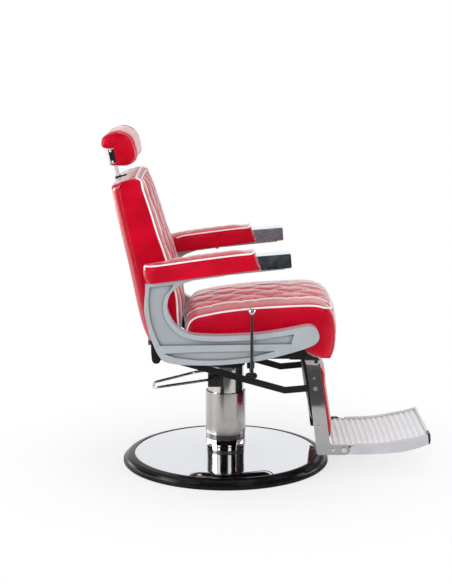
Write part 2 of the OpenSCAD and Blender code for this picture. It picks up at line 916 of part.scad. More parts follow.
// Round rod of radius r from the point p, at the angle a, of length len
module rod(r, p, a, len) {
    translate([p[0], p[1], 0])
        rotate([0, 90, a])
            translate([0, 0, -rod_lap])
                cylinder(r = r, h = len + 2 * rod_lap, $fn = 32);
}

// Bend of a rod of radius r about c, from the angle a on
module rod_bend(r, c, bend, a, turn) {
    translate([c[0], c[1], 0])
        rotate([0, 0, a])
            rotate_extrude(angle = turn, $fn = 64)
                translate([bend, 0])
                    circle(r = r + bend_swell, $fn = 32);
}

module shaft_bearings() {
    t = 8;
    z0 = shaft_z - shaft_d / 2 - 6;
    hole = shaft_d + 2 * run_fit;
    outer_y = -rail_in;
    inner_y = -50;
    color(black) {
        difference() {
            translate([shaft_x - 12, outer_y - t, z0])
                cube([24, t, rail_z - gap - z0]);
            y_pin(shaft_x, shaft_z, hole, outer_y - t - 1, outer_y + 1);
        }
        difference() {
            translate([shaft_x - 7.5, inner_y, z0])
                cube([19.5, t, rail_z + 12 - z0]);
            y_pin(shaft_x, shaft_z, hole, inner_y - 1, inner_y + t + 1);
        }
        translate([member_x + rail_s / 2 + gap, inner_y, rail_z + 4])
            cube([shaft_x - 7.5 - member_x - rail_s / 2 - gap + 1, t, 8]);
    }
}

// Locking cylinder of the backrest, held on the rear cross member
crank_r = 80;
lock_mid = recline_max / 2;
lock_x = pivot_x - crank_r * sin(lock_mid);
lock_pin_z = pivot_z - crank_r * cos(lock_mid);
lock_z = pivot_z - crank_r * (1 + cos(lock_mid)) / 2;
lock_travel = 2 * crank_r * sin(lock_mid);
lock_d = 22;
lock_rod_d = 10;
lock_pin_d = 8;
lock_x1 = -member_x - rail_s / 2 - gap;
yoke_half = 12;
yoke_end = lock_x + yoke_half + 4;
lock_x0 = yoke_end + lock_travel + 4;

module lock_cylinder() {
    flange = 5;
    color(steel)
        difference() {
            union() {
                translate([lock_x0, 0, lock_z])
                    rotate([0, 90, 0])
                        cylinder(d = lock_d, h = lock_x1 - lock_x0);
                translate([lock_x1 - flange, -22, lock_z - lock_d / 2])
                    cube([flange, 44, lock_d - 2]);
            }
            translate([lock_x0 - 1, 0, lock_z])
                rotate([0, 90, 0])
                    cylinder(d = lock_rod_d + 2 * run_fit, h = lock_x1 - lock_x0 - 14);
            translate([lock_x1 - 12, 0, lock_z])
                rotate([0, 90, 0])
                    cylinder(d = 9, h = 14);
        }
}

module lock_rod() {
    slot_w = lock_pin_d + 2 * 0.5;
    slot_h = crank_r * (1 - cos(lock_mid)) + 1.6;
    color(chrome)
        difference() {
            union() {
                translate([yoke_end - 2, 0, lock_z])
                    rotate([0, 90, 0])
                        cylinder(d = lock_rod_d, h = lock_x0 - yoke_end + 24);
                translate([lock_x - yoke_half, -5, lock_z - 14])
                    cube([2 * yoke_half + 4, 10, 28]);
            }
            for (dz = [-slot_h / 2, slot_h / 2])
                y_pin(lock_x, lock_z + dz, slot_w, -6, 6);
            translate([lock_x - slot_w / 2, -6, lock_z - slot_h / 2])
                cube([slot_w, 12, slot_h]);
        }
}

release_d = 8;
finger_half = 5;
release_x1 = shaft_x - finger_half - gap;

module release_rod() {
    color(steel)
        translate([lock_x1 - 3, 0, lock_z])
            rotate([0, 90, 0])
                cylinder(d = release_d, h = release_x1 - lock_x1 + 3);
}

// ---------- recline lever ----------

lever_y = -(frame_y + 20);
hub_h = 16;
ferrule_h = 15;

module recline_shaft() {
    color(black) {
        y_pin(shaft_x, shaft_z, shaft_d, lever_y + 1, 6);
        translate([shaft_x - finger_half, -6, shaft_z])
            cube([2 * finger_half, 12, lock_z + 9 - shaft_z]);
        difference() {
            side_extrude(lever_y - 9, lever_y + 2)
                polygon(concat(
                    arc([shaft_x + 9, shaft_z], hub_h / 2, -90, 90, 10),
                    arc([shaft_x - 11, shaft_z], hub_h / 2, 90, 270, 10)));
            for (x = [-11, 10])
                y_pin(shaft_x + x, shaft_z, 6, lever_y - 10, lever_y - 5);
        }
    }
}

module recline_lever() {
    z0 = shaft_z + hub_h / 2 + gap;
    z1 = knob_z - knob_d / 2 + 1;
    color(chrome)
        translate([shaft_x, lever_y - 3.5, 0]) {
            translate([0, 0, z0])
                cylinder(d1 = 13, d2 = 11, h = ferrule_h);
            translate([0, 0, z0 + ferrule_h - 1])
                cylinder(d1 = 10.5, d2 = 8, h = z1 - z0 - ferrule_h + 1);
            translate([0, 0, knob_z])
                sphere(d = knob_d);
        }
}

// ---------- backrest ----------

// Points of the backrest's outline: x, and the share of the height from lower edge to top
function back_points(p) = [for (q = p) [q[0], back_z0 + q[1] * (back_z1 - back_z0)]];
// Rear face of the backrest, from its lower edge up
back_rear = back_points([
    [-241, 0], [-258, 0.077], [-273, 0.189], [-291, 0.367], [-306, 0.513], [-329, 0.718], [-350, 0.919],
    [-354, 0.976], [-346, 1]
]);
// Front of the backrest, from the top rear over the crest and down to its lower edge
back_front = concat(
    back_points([
        [-321, 1.022], [-300, 1.034], [-282, 1.041], [-267, 1.03], [-254, 0.976], [-234, 0.854],
        [-210, 0.692], [-185, 0.54], [-158, 0.341], [-151, 0.26], [-149, 0.168], [-146, 0.087], [-147, 0.022]
    ]),
    [[-160, back_z0 + gap]]);
back_round = 8;
post_slot = 190;

guide_t = post_t + 6;
guide_w = post_w + 12;
guide_h = 34;
guide_s = -74;
// The post's line, for slots: a box along the post from length s0 to s1 above the tilt pivot
module post_box(tx, wy, s0, s1) {
    translate([head_x, 0, head_z])
        rotate([0, -post_lean, 0])
            translate([-tx / 2, -wy / 2, s0])
                cube([tx, wy, s1 - s0]);
}

// Line between the rear panel and the cushion, d in front of it
function panel_front(d) =
    [for (p = back_rear) p + [panel_t + d, 0.4 * panel_t * smooth_step((p[1] - back_z1 + 40) / 40)]];

module back_cushion() {
    h = back_w / 2;
    front = quilt_points(back_front);
    rear = concat([[-205, back_z0 + gap]], panel_front(gap));
    color(red)
        loft([for (y = quilt_stations(h)) quilt_section(front, rear, y, h, back_round, 20, 30)]);
}

module back_panel() {
    h = back_w / 2 - 1;
    rear = even_points(open_curve(back_rear, 5), 18);
    ys = [-1, -0.985, -0.95, -0.6, 0, 0.6, 0.95, 0.985, 1];
    inset = [9, 3, 0, 0, 0, 0, 0, 3, 9];
    color(red)
        difference() {
            loft([for (k = [0:len(ys) - 1])
                [for (p = concat(shifted(rear, -inset[k]), reversed(panel_front(0)))) [p[0], h * ys[k], p[1]]]]);
            post_box(post_t + 2 * gap, post_w + 2 * gap, -post_slot - 60, 40);
            post_box(guide_t + 2 * gap, guide_w + 2 * gap, guide_s - guide_h - gap, 40);
        }
}

// Steel base of the backrest, with the crank that works the lock rod welded under it
module back_base_plate() {
    t = 5;
    hole = 9;
    ear_t = 4;
    ear_y = 7;
    z = back_z0 - gap - t;
    color(black) {
        difference() {
            translate([-236, -back_w / 2 + 6, z])
                cube([66, back_w - 12, t]);
            for (y = [-120, 120])
                translate([-203, y, z - 1])
                    cylinder(d = hole, h = t + 2);
        }
        both_sides()
            side_extrude(ear_y, ear_y + ear_t)
                polygon(concat(arc([lock_x, lock_pin_z], 9, 180, 340, 10), [[-212, z + 1], [-236, z + 1], [-250, z - 6]]));
        y_pin(lock_x, lock_pin_z, lock_pin_d, -ear_y - ear_t + 0.5, ear_y + ear_t - 0.5);
    }
}

module hinge_plates() {
    top = 566;
    color(black)
        both_sides()
            difference() {
                union() {
                    side_extrude(plate_y, plate_y + hinge_t)
                        polygon(concat(
                            arc([link_x0, link_z0], 14, 180, 360, 10),
                            [[pivot_x + 22, pivot_z - 20], [pivot_x + 24, pivot_z + 20], [-200, top], [-230, top],
                             [pivot_x - 18, pivot_z + 30], [pivot_x - 16, pivot_z - 68]]));
                    translate([pivot_x - 14, back_w / 2 - 7, back_z0 - 15])
                        cube([30, plate_y - back_w / 2 + 8, 9]);
                }
                y_pin(link_x0, link_z0, pin_d, plate_y - 1, plate_y + hinge_t + 1);
                y_pin(pivot_x, pivot_z, pin_d, plate_y - 1, plate_y + hinge_t + 1);
            }
}

module back_pins() {
    color(steel)
        both_sides() {
            y_pin(link_x0, link_z0, pin_d, link_y0 - 2, plate_y + hinge_t + 1);
            y_pin(link_x0, link_z0, pin_d + 6, plate_y + hinge_t, plate_y + hinge_t + 5);
            y_pin(pivot_x, pivot_z, pin_d, plate_y, upright_y + hinge_t + 3);
            y_pin(pivot_x, pivot_z, pin_d + 10, plate_y + hinge_t, upright_y - 1);
        }
}

module post_guide() {
    color(black)
        difference() {
            post_box(guide_t, guide_w, guide_s - guide_h, guide_s);
            post_box(post_t + 2 * gap, post_w + 2 * gap, guide_s - guide_h - 1, guide_s + 1);
        }
}

// ---------- headrest ----------

module headrest_post() {
    eye_d = 16;
    eye_half = post_w / 2 + 3;
    color(chrome)
        difference() {
            union() {
                post_box(post_t, post_w, -post_slot, 0);
                y_pin(head_x, head_z, eye_d, -eye_half, eye_half);
            }
            y_pin(head_x, head_z, tilt_d + 2 * run_fit, -post_w, post_w);
        }
}

tilt_d = 8;
rail_depth = 24;
rail_h = 48;
rail_t = 2.5;
rail_back = 7;

// Frame of the headrest's rail: origin at the tilt pivot, leaning with the post
module rail_place() {
    translate([head_x, 0, head_z])
        rotate([0, -post_lean, 0])
            children();
}

module headrest_rail() {
    h = head_w / 2 - 4;
    notch = post_w / 2 + 6;
    color(chrome)
        rail_place()
            difference() {
                translate([-rail_back, -h, -rail_h / 2])
                    cube([rail_depth, 2 * h, rail_h]);
                translate([-rail_back + rail_t, -h - 1, -rail_h / 2 + rail_t])
                    cube([rail_depth, 2 * h + 2, rail_h - 2 * rail_t]);
                translate([-20, -notch, -rail_h])
                    cube([50, 2 * notch, rail_h + 12]);
            }
}

module tilt_pin() {
    half = post_w / 2;
    color(steel) {
        y_pin(head_x, head_z, tilt_d, -half - 12, half + 12);
        both_sides()
            rail_place()
                translate([-rail_back + rail_t + gap, half + 6, -rail_h / 2 + rail_t + gap])
                    cube([rail_depth - rail_t - 2, 5, rail_h - 2 * rail_t - 2 * gap]);
    }
}

module rail_caps() {
    h = head_w / 2 - 4;
    t = 8;
    color(black)
        both_sides()
            rail_place()
                difference() {
                    translate([-rail_back + rail_t + gap, h - t, -rail_h / 2 + rail_t + gap])
                        cube([rail_depth - rail_t - 2 * gap - 1, t - 1, rail_h - 2 * rail_t - 2 * gap]);
                    for (z = [-17, 17])
                        translate([5, h - 3, z])
                            rotate([-90, 0, 0])
                                cylinder(d = 5, h = 4, $fn = 24);
                }
}

// Side outline of the headrest about its tilt pivot, from the rear lobe over the top
head_outline = [
    [-11, 26], [-23, 29], [-27, 40], [-22, 56], [-9, 68], [10, 76], [31, 79], [53, 73], [69, 58],
    [79, 34], [84, 11], [81, -6], [70, -17], [50, -24], [34, -27], [24, -24]
];

module headrest_cushion() {
    h = head_w / 2;
    r = 14;
    outline = [for (p = head_outline) p + [head_x, head_z]];
    profile = even_points(open_curve(outline, 5), 30);
    inner = [for (c = [-1, 1])
        [head_x + (rail_depth - rail_back + gap) * cos(post_lean) - c * (rail_h / 2 + gap) * sin(post_lean),
         head_z + (rail_depth - rail_back + gap) * sin(post_lean) + c * (rail_h / 2 + gap) * cos(post_lean)]];
    ys = [-1, -0.985, -0.955, -0.9, -0.7, -0.4, 0, 0.4, 0.7, 0.9, 0.955, 0.985, 1];
    color(red)
        difference() {
            loft([for (v = ys)
                let (y = v * h, d = edge_inset(y, h, r), lift = 3 * (1 - v * v))
                concat(
                    [for (i = [0:len(profile) - 1])
                        let (e = smooth_step(min(i, len(profile) - 1 - i) / 5),
                             q = profile[i] + (lift - d) * e * normal_at(profile, i))
                        [q[0], y, q[1]]],
                    [for (p = inner) [p[0], y, p[1]]])]);
            post_box(50, post_w + 16, -60, 26);
        }
}

// ---------- footrest ----------

// Lean of the leg bars, from the hinge down to the heel
leg_heel = [foot_x - 68, foot_z];
leg_foot_h = 34;

module leg_profile() {
    r = leg_foot_h / 2;
    top = [leg_x - 11, leg_z];
    dir = (leg_heel - top) / norm(leg_heel - top);
    nrm = [dir[1], -dir[0]] * leg_w / 2;
    knee = 6;
    polygon(concat(
        arc([leg_x, leg_z], 12.5, 110, -10, 8),
        [[leg_heel[0] + 20 + 2, foot_z + r + knee + 4], [leg_heel[0] + 20 + knee + 1, foot_z + r]],
        reversed(arc([foot_x, foot_z], r, -90, 90, 12)),
        [[leg_heel[0] - leg_w / 2 + 4, foot_z - r], [leg_heel[0] - leg_w / 2, foot_z - r + 4]],
        [top + nrm, top + nrm * 0.7 - dir * 12]));
}

stop_x = foot_x - 35;
stop_d = 10;
// Screws that hold the calf pad between the leg bars
calf_screws = [[280, 319], [298, 160]];

module leg_bars() {
    y0 = link_y - bar_t / 2;
    color(chrome)
        both_sides() {
            difference() {
                side_extrude(y0, y0 + bar_t)
                    leg_profile();
                y_pin(leg_x, leg_z, pin_d, y0 - 1, y0 + bar_t + 1);
                for (p = calf_screws)
                    y_pin(p[0], p[1], 5, y0 - 1, y0 + bar_t + 1);
                y_pin(link_x1, link_z1, pin_d, y0 - 1, y0 + bar_t + 1);
                y_pin(foot_x, foot_z, pin_d + 2 * run_fit, y0 - 1, y0 + bar_t + 1);
            }
            y_pin(stop_x, foot_z, stop_d, y0 - 12, y0 + 1);
        }
}

// Rear and front of the calf pad, from the top down
calf_rear = [[245, 358], [257, 293], [269, 211], [281, 164]];
calf_front = [[292, 352], [312, 338], [317, 290], [325, 238], [332, 189], [337, 150], [331, 118]];
calf_t = 10;
calf_y = link_y0 - 2.5;

module calf_panel() {
    rear = open_curve(calf_rear, 4);
    color(black)
        side_extrude(-calf_y, calf_y)
            polygon(concat(rear, reversed(shifted(rear, calf_t))));
}

module calf_pad() {
    rear = shifted(open_curve(calf_rear, 3), calf_t + gap);
    front = even_points(open_curve(calf_front, 5), 20);
    ys = [-1, -0.985, -0.95, -0.87, -0.6, -0.3, 0, 0.3, 0.6, 0.87, 0.95, 0.985, 1];
    r = 10;
    color(red)
        loft([for (v = ys)
            let (y = v * calf_y, d = edge_inset(y, calf_y, r), lift = 5 * (1 - v * v))
            concat(
                [for (i = [0:len(front) - 1])
                    let (e = smooth_step(min(i, len(front) - 1 - i) / 4),
                         q = front[i] + (lift - d) * e * normal_at(front, i))
                    [q[0], y, q[1]]],
                [for (p = reversed(rear)) [p[0], y, p[1]]])]);
}

module leg_pins() {
    y0 = link_y - bar_t / 2;
    color(steel)
        both_sides() {
            y_pin(leg_x, leg_z, pin_d, y0, rail_in - gap);
            y_pin(leg_x, leg_z, pin_d + 8, y0 + bar_t, rail_in - gap - hinge_t - 1);
            y_pin(link_x1, link_z1, pin_d, link_y0 - 2, y0 + bar_t + 1);
            y_pin(link_x1, link_z1, pin_d + 3, y0 + bar_t, y0 + bar_t + 5);
            y_pin(stop_x, foot_z, stop_d + 2, y0 + bar_t, y0 + bar_t + 3);
            for (p = calf_screws) {
                y_pin(p[0], p[1], 9, y0 + bar_t + gap, y0 + bar_t + 3);
                y_pin(p[0], p[1], 5, y0 - 6, y0 + bar_t + 1);
                difference() {
                    y_pin(p[0], p[1], 13, calf_y + gap, y0 - gap);
                    y_pin(p[0], p[1], 4, calf_y, y0);
                }
            }
        }
}

// Link bar: from the rear pin down to a bend, then level to the leg
link_bend = [188, 277];

module link_bars() {
    y0 = link_y0;
    h = link_h / 2;
    a = [link_x0, link_z0];
    b = [link_x1, link_z1];
    u = (link_bend - a) / norm(link_bend - a);
    v = (b - link_bend) / norm(b - link_bend);
    nu = [-u[1], u[0]] * h;
    nv = [-v[1], v[0]] * h;
    nm = (nu + nv) / norm(nu + nv) * h * 1.02;
    ang_u = atan2(u[1], u[0]);
    ang_v = atan2(v[1], v[0]);
    hole = pin_d + 2 * run_fit;
    color(black)
        both_sides()
            difference() {
                side_extrude(y0, y0 + bar_t)
                    polygon(concat(
                        arc(a, h, ang_u + 90, ang_u + 270, 10), [link_bend - nm],
                        arc(b, h, ang_v - 90, ang_v + 90, 10), [link_bend + nm]));
                y_pin(link_x0, link_z0, hole, y0 - 1, y0 + bar_t + 1);
                y_pin(link_x1, link_z1, pin_d + 1, y0 - 1, y0 + bar_t + 1);
            }
}

// ---------- footplate ----------

// Top of the footplate's deck between the ribs, from the rear up to the nose
deck_line = [[346, 93], [399, 90], [479, 92], [527, 97], [575, 106], [612, 114], [foot_x1 - 1, 123]];
cheek_in = foot_w / 2;
cheek_t = 14;

module foot_deck() {
    steps = rib_n * 6;
    line = even_points(open_curve(deck_line, 8), steps);
    wave = [0, 0.15, 1, 1, 0.85, 0];
    top = [for (i = [0:steps]) line[i] + rib_h * wave[i % 6] * normal_at(line, i)];
    under = shifted(even_points(open_curve(deck_line, 8), 24), -deck_t);
    color(alloy)
        side_extrude(-cheek_in + gap, cheek_in - gap)
            polygon(concat(top, reversed(under)));
}

cheek_top = [
    [foot_x + 34, 96], [431, 97], [479, 98], [527, 103], [575, 112], [612, 119], [foot_x1, 129]
];
cheek_low = [
    [foot_x1 + 3, 100], [608, 85], [576, 77], [544, 72], [495, 69], [447, 67], [foot_x + 21, 66]
];

module foot_cheeks() {
    y0 = cheek_in;
    y1 = link_y + bar_t / 2;
    tongue = 8;
    knuckle = leg_foot_h / 2 + 1.5;
    color(alloy)
        both_sides() {
            difference() {
                side_extrude(y0, y1)
                    polygon(concat(
                        open_curve(cheek_top, 4), open_curve(cheek_low, 4),
                        [[foot_x, 66], [foot_x, 86], [foot_x + 19, 88]]));
                y_pin(foot_x, foot_z, 2 * knuckle, y0 + tongue, y1 + 1);
                y_pin(foot_x, foot_z, pin_d - 1, y0 - 1, y1 + 1);
            }
            side_extrude(y0, y0 + tongue)
                polygon(concat(
                    [[foot_x + 36, 68], [foot_x + 36, 92], [foot_x + 14, 94], [foot_x - 8, 94]],
                    [[stop_x + 10, foot_z - stop_d / 2 - gap], [stop_x - 6, foot_z - stop_d / 2 - gap],
                     [stop_x - 6, 67], [foot_x, 66]]));
            y_pin(foot_x, foot_z, pin_d, y0 + 1, y1 + 1);
            y_pin(foot_x, foot_z, pin_d + 5, y1 + gap, y1 + 5);
        }
}

module foot_nose() {
    color(black)
        side_extrude(-cheek_in - cheek_t, cheek_in + cheek_t)
            polygon([
                [foot_x1 + gap, 131], [foot_x1 + 3, 136], [foot_x1 + 8, 133], [foot_x1 + 10, 112],
                [foot_x1 + 8, 100], [foot_x1 + 3 + 2 * gap, 98]
            ]);
}

// ---------- assembly ----------

base_edge();
base_cover();
base_plate();
pump_cylinder();
pump_gland();
pump_bolts();
column_sleeve();
column_band();
column_collar();
sleeve_wiper();
ram();
piston_seal();
thrust_bearing();
swivel_nut();
riser_sleeve();
swivel_head();
front_channel();
rear_channel();
seat_rails();
cross_members();
seat_board();
seat_cushion();
side_frame_right();
side_frame_left();
arm_pad_right();
arm_pad_left();
arm_end_right();
arm_end_left();
arm_screws();
frame_brackets();
frame_bolts();
hinge_uprights();
footrest_ears();
lever_lugs();
shaft_bearings();
lock_cylinder();
pump_lever();
back_cushion();
back_panel();
back_base_plate();
hinge_plates();
back_pins();
post_guide();
headrest_post();
headrest_cushion();
headrest_rail();
rail_caps();
tilt_pin();
leg_bars();
calf_pad();
calf_panel();
leg_pins();
link_bars();
foot_deck();
foot_cheeks();
foot_nose();
recline_shaft();
recline_lever();
lock_rod();
release_rod();
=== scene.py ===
"""Looks of the hydraulic barber chair: upholstery, piping, materials, studio and camera, over the frame."""

import math

import bmesh
import bpy
import numpy as np
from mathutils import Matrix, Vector


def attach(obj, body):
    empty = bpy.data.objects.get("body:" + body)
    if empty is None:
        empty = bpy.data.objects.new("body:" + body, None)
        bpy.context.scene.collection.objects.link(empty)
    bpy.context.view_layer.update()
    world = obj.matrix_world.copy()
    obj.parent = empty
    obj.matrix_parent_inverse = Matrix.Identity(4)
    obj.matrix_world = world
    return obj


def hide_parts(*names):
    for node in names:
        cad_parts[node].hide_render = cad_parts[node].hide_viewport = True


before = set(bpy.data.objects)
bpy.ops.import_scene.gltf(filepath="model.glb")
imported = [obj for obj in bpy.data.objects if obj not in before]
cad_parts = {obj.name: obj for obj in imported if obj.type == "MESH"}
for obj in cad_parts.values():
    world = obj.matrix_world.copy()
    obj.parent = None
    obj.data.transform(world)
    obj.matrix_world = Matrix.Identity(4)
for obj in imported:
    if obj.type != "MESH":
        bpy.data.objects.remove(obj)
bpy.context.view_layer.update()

MM = 0.001
# Faces that meet at more than this angle keep a sharp edge
SHARP = math.radians(52)
# The sitter's right is towards -y
SIDES = ((-1, "right"), (1, "left"))


# ---------- node materials ----------

# Widths in metres between which the floors of the side frames' pockets begin and end, where painted shade
# darkens them
POCKET_IN = (0.299, 0.301)
POCKET_OUT = (0.3135, 0.308)
RED, RED_SHADE = (0.60, 0.0008, 0.021), (0.42, 0.0004, 0.012)
BLACK, BLACK_SHADE = (0.012, 0.012, 0.013), (0.008, 0.008, 0.009)


class Nodes:
    """A node tree, with one call per node."""

    def __init__(self, tree):
        self.tree = tree

    def put(self, socket, value):
        if isinstance(value, bpy.types.NodeSocket):
            self.tree.links.new(value, socket)
        else:
            socket.default_value = value

    def node(self, kind, settings=None, **inputs):
        """New node. Its inputs are given by name, or by number as _0, _1 and so on."""
        made = self.tree.nodes.new("ShaderNode" + kind)
        for key, value in (settings or {}).items():
            setattr(made, key, value)
        for key, value in inputs.items():
            self.put(made.inputs[int(key[1:]) if key[0] == "_" else key.replace("_", " ")], value)
        return made

    def ramp(self, value, low, high, to_low=0.0, to_high=1.0, kind="LINEAR"):
        """Carries low to to_low and high to to_high, and holds the value past both."""
        made = self.node("MapRange", {"interpolation_type": kind}, Value=value)
        for key, number in (("From Min", low), ("From Max", high), ("To Min", to_low), ("To Max", to_high)):
            made.inputs[key].default_value = number
        return made.outputs[0]

    def math(self, operation, a, b=0.0):
        return self.node("Math", {"operation": operation}, _0=a, _1=b).outputs[0]


class Shader(Nodes):
    """A material over the rest frame's coordinates, in metres."""

    def __init__(self, name):
        self.mat = bpy.data.materials.new(name)
        self.mat.use_nodes = True
        super().__init__(self.mat.node_tree)
        self.bsdf = self.tree.nodes["Principled BSDF"]
        place = self.node("TexCoord").outputs
        self.coords, self.facing = place["Object"], place["Normal"]

    def set(self, **inputs):
        for key, value in inputs.items():
            self.put(self.bsdf.inputs[key.replace("_", " ")], value)

    def stretched(self, scale):
        return self.node("Mapping", Vector=self.coords, Scale=scale).outputs[0]

    def noise(self, scale, detail=3.0, rough=0.55, vector=None, distort=0.0):
        return self.node("TexNoise", Vector=vector or self.coords, Scale=scale, Detail=detail,
                         Roughness=rough, Distortion=distort).outputs[0]

    def cells(self, scale):
        made = self.node("TexVoronoi", {"feature": "DISTANCE_TO_EDGE"}, Vector=self.coords, Scale=scale)
        return made.outputs["Distance"]

    def mix(self, factor, a, b):
        made = self.tree.nodes.new("ShaderNodeMix")
        made.data_type = "RGBA"
        self.put(made.inputs[0], factor)
        self.put(made.inputs[6], (*a, 1) if isinstance(a, tuple) else a)
        self.put(made.inputs[7], (*b, 1) if isinstance(b, tuple) else b)
        return made.outputs[2]

    def axis(self, vector, number):
        return self.node("SeparateXYZ", Vector=vector).outputs[number]

    def rounded(self, radius):
        """Normals as if the edges had a small radius, in millimetres."""
        return self.node("Bevel", {"samples": 4}, Radius=radius * MM).outputs[0]

    def open_air(self, distance):
        """1 in the open and less in corners, within a distance in millimetres; used to darken colours as
        painted shade.
        """
        settings = {"samples": 8, "only_local": True}
        return self.node("AmbientOcclusion", settings, Distance=distance * MM).outputs["AO"]

    def pocket_shade_mask(self):
        """Mask of painted shade: 1 on the floors of the side frames' pockets, 0 elsewhere."""
        across = self.math("ABSOLUTE", self.axis(self.coords, 1))
        facing = self.math("ABSOLUTE", self.axis(self.facing, 1))
        deep = self.math("MULTIPLY", self.ramp(across, *POCKET_IN), self.ramp(across, *POCKET_OUT))
        return self.math("MULTIPLY", deep, self.ramp(facing, 0.8, 0.95))

    def bump(self, height, distance, strength=1.0, normal=None):
        made = self.node("Bump", None, Height=height, Distance=distance, Strength=strength)
        if normal:
            self.put(made.inputs["Normal"], normal)
        return made.outputs[0]


def leather(name, base, dark, roughness=(0.34, 0.5), coat=1.0, grain=1.0, polish=1.33):
    """Glossy leatherette: pebbled grain, creases, folds, and seams that are pulled in, with painted shade and
    less gloss where it is pulled in.
    """
    s = Shader(name)
    blotch = s.ramp(s.noise(11, 4), 0.32, 0.72)
    wear = s.ramp(s.noise(95, 5, 0.7), 0.45, 0.8, 0.0, 0.45)
    pulled = s.node("Attribute", {"attribute_name": "seam"}).outputs["Fac"]
    taut = s.ramp(pulled, 0.0, 1.0, 1.0, 0.0)
    skin = s.mix(wear, s.mix(blotch, base, dark), dark)
    crease_shade = tuple(0.35 * v for v in dark)
    shine = tuple(min(1.0, 1.6 * v + 0.02) for v in base)
    # Painted shade: where the leather is pulled in, its colour falls towards a darker crease tone
    s.set(Base_Color=s.mix(s.math("MULTIPLY", pulled, 0.9), skin, crease_shade))
    s.set(Roughness=s.ramp(s.noise(55, 4), 0.3, 0.7, *roughness))
    s.set(Specular_IOR_Level=s.math("MULTIPLY", taut, 0.35), Specular_Tint=(*shine, 1))
    s.set(Sheen_Weight=s.math("MULTIPLY", taut, 0.6), Sheen_Roughness=0.3)
    s.set(Coat_Weight=s.math("MULTIPLY", s.ramp(pulled, 0.0, 0.8, 1.0, 0.03), coat), Coat_IOR=polish)
    s.set(Coat_Roughness=s.ramp(s.noise(70, 3), 0.3, 0.7, 0.09, 0.2))
    pebbles = s.math("MULTIPLY", s.ramp(s.cells(330), 0.0, 0.28), 0.7)
    fine = s.math("MULTIPLY", s.noise(1100, 2), 0.3)
    creases = s.noise(75, 5, 0.62, distort=0.9)
    folds = s.noise(17, 2, 0.5, distort=0.5)
    normal = s.bump(folds, 4.0 * MM, 0.15 * grain)
    normal = s.bump(creases, 1.4 * MM, 0.22 * grain, normal)
    normal = s.bump(s.math("ADD", pebbles, fine), 0.2 * MM, 0.6 * grain, normal)
    s.set(Normal=normal, Coat_Normal=normal)
    return s.mat


def polished(s, base, shade, roughness):
    """Bright metal with faint smudges, and a tone that falls to a share of the base colour."""
    s.set(Metallic=1.0, Roughness=s.ramp(s.noise(28, 4, 0.6), 0.35, 0.75, *roughness))
    s.set(Base_Color=s.mix(s.ramp(s.noise(40, 3), 0.35, 0.7), base, tuple(shade * v for v in base)))


def chrome(name, base, roughness, streak=None, wave=0.0):
    """Chrome or steel. streak draws its brushing out, and wave dents it, in millimetres."""
    s = Shader(name)
    polished(s, base, 0.93, roughness)
    brushed = s.noise(170, 3, 0.6, s.stretched(streak)) if streak else s.noise(420, 3, 0.6)
    normal = s.rounded(0.8)
    if wave:
        normal = s.bump(s.noise(9, 1, 0.4), wave * MM, 1.0, normal)
    s.set(Normal=s.bump(brushed, 0.03 * MM, 0.5, normal))
    return s.mat


def spun_dome(name, base, slopes, roughness):
    """Polished spun cover. Its reflections, but not its shape, follow slopes: pairs of a radius in
    millimetres and an angle in degrees. They also turn up at the front rim and lie flat on the side of the
    footrest."""
    s = Shader(name)
    x, y = s.axis(s.coords, 0), s.axis(s.coords, 1)
    radius = s.math("SQRT", s.math("ADD", s.math("MULTIPLY", x, x), s.math("MULTIPLY", y, y)))
    tilt = slopes[0][1]
    for (r0, a0), (r1, a1) in zip(slopes, slopes[1:]):
        tilt = s.math("ADD", tilt, s.ramp(radius, r0 * MM, r1 * MM, 0.0, a1 - a0))
    middle = s.ramp(s.math("ABSOLUTE", s.math("SUBTRACT", x, 0.02)), 0.10, 0.15, 1.0, 0.0)
    rim = s.math("MULTIPLY", s.ramp(radius, 0.262, 0.302, 0.0, 15.0), s.ramp(y, -0.2, -0.24))
    tilt = s.math("MULTIPLY", s.math("ADD", tilt, s.math("MULTIPLY", middle, rim)), math.pi / 180)
    tilt = s.math("MULTIPLY", tilt, s.ramp(x, 0.12, 0.2, 1.0, 0.1))
    outward = s.math("DIVIDE", s.math("SINE", tilt), radius)
    leaning = s.node("CombineXYZ", _0=s.math("MULTIPLY", x, outward), _1=s.math("MULTIPLY", y, outward),
                     _2=s.math("COSINE", tilt)).outputs[0]
    polished(s, base, 0.97, roughness)
    s.set(Normal=s.bump(s.noise(8, 2, 0.4), 0.12 * MM, 1.0, leaning))
    return s.mat


def painted(name, base, dark, roughness, bump=0.05, scale=700, metallic=0.0, coat=0.0, level=0.5, edge=0.8,
            pocket_shade=None):
    """Paint, plastic, rubber or satin metal. The last argument is the colour of painted shade on the side
    frames' pocket floors, and with it the corners get painted shade too.
    """
    s = Shader(name)
    colour = s.mix(s.ramp(s.noise(18, 4), 0.3, 0.7), base, dark)
    if pocket_shade:
        # Painted shade: the floors of the side frames' pockets are darkened to the given colour
        colour = s.mix(s.pocket_shade_mask(), colour, pocket_shade)
        # Painted shade: corners and the pockets' edges darken towards 0.4 of the base colour
        colour = s.mix(s.ramp(s.open_air(16), 0.45, 0.82), tuple(0.4 * v for v in base), colour)
    s.set(Base_Color=colour, Specular_IOR_Level=level, Metallic=metallic)
    s.set(Coat_Weight=coat, Coat_Roughness=0.2)
    s.set(Roughness=s.ramp(s.noise(130, 3), 0.3, 0.7, *roughness))
    uneven = s.bump(s.noise(25, 2), 0.5 * MM, 0.2, s.rounded(edge))
    s.set(Normal=s.bump(s.noise(scale, 3, 0.6), bump * MM, 0.6, uneven))
    return s.mat


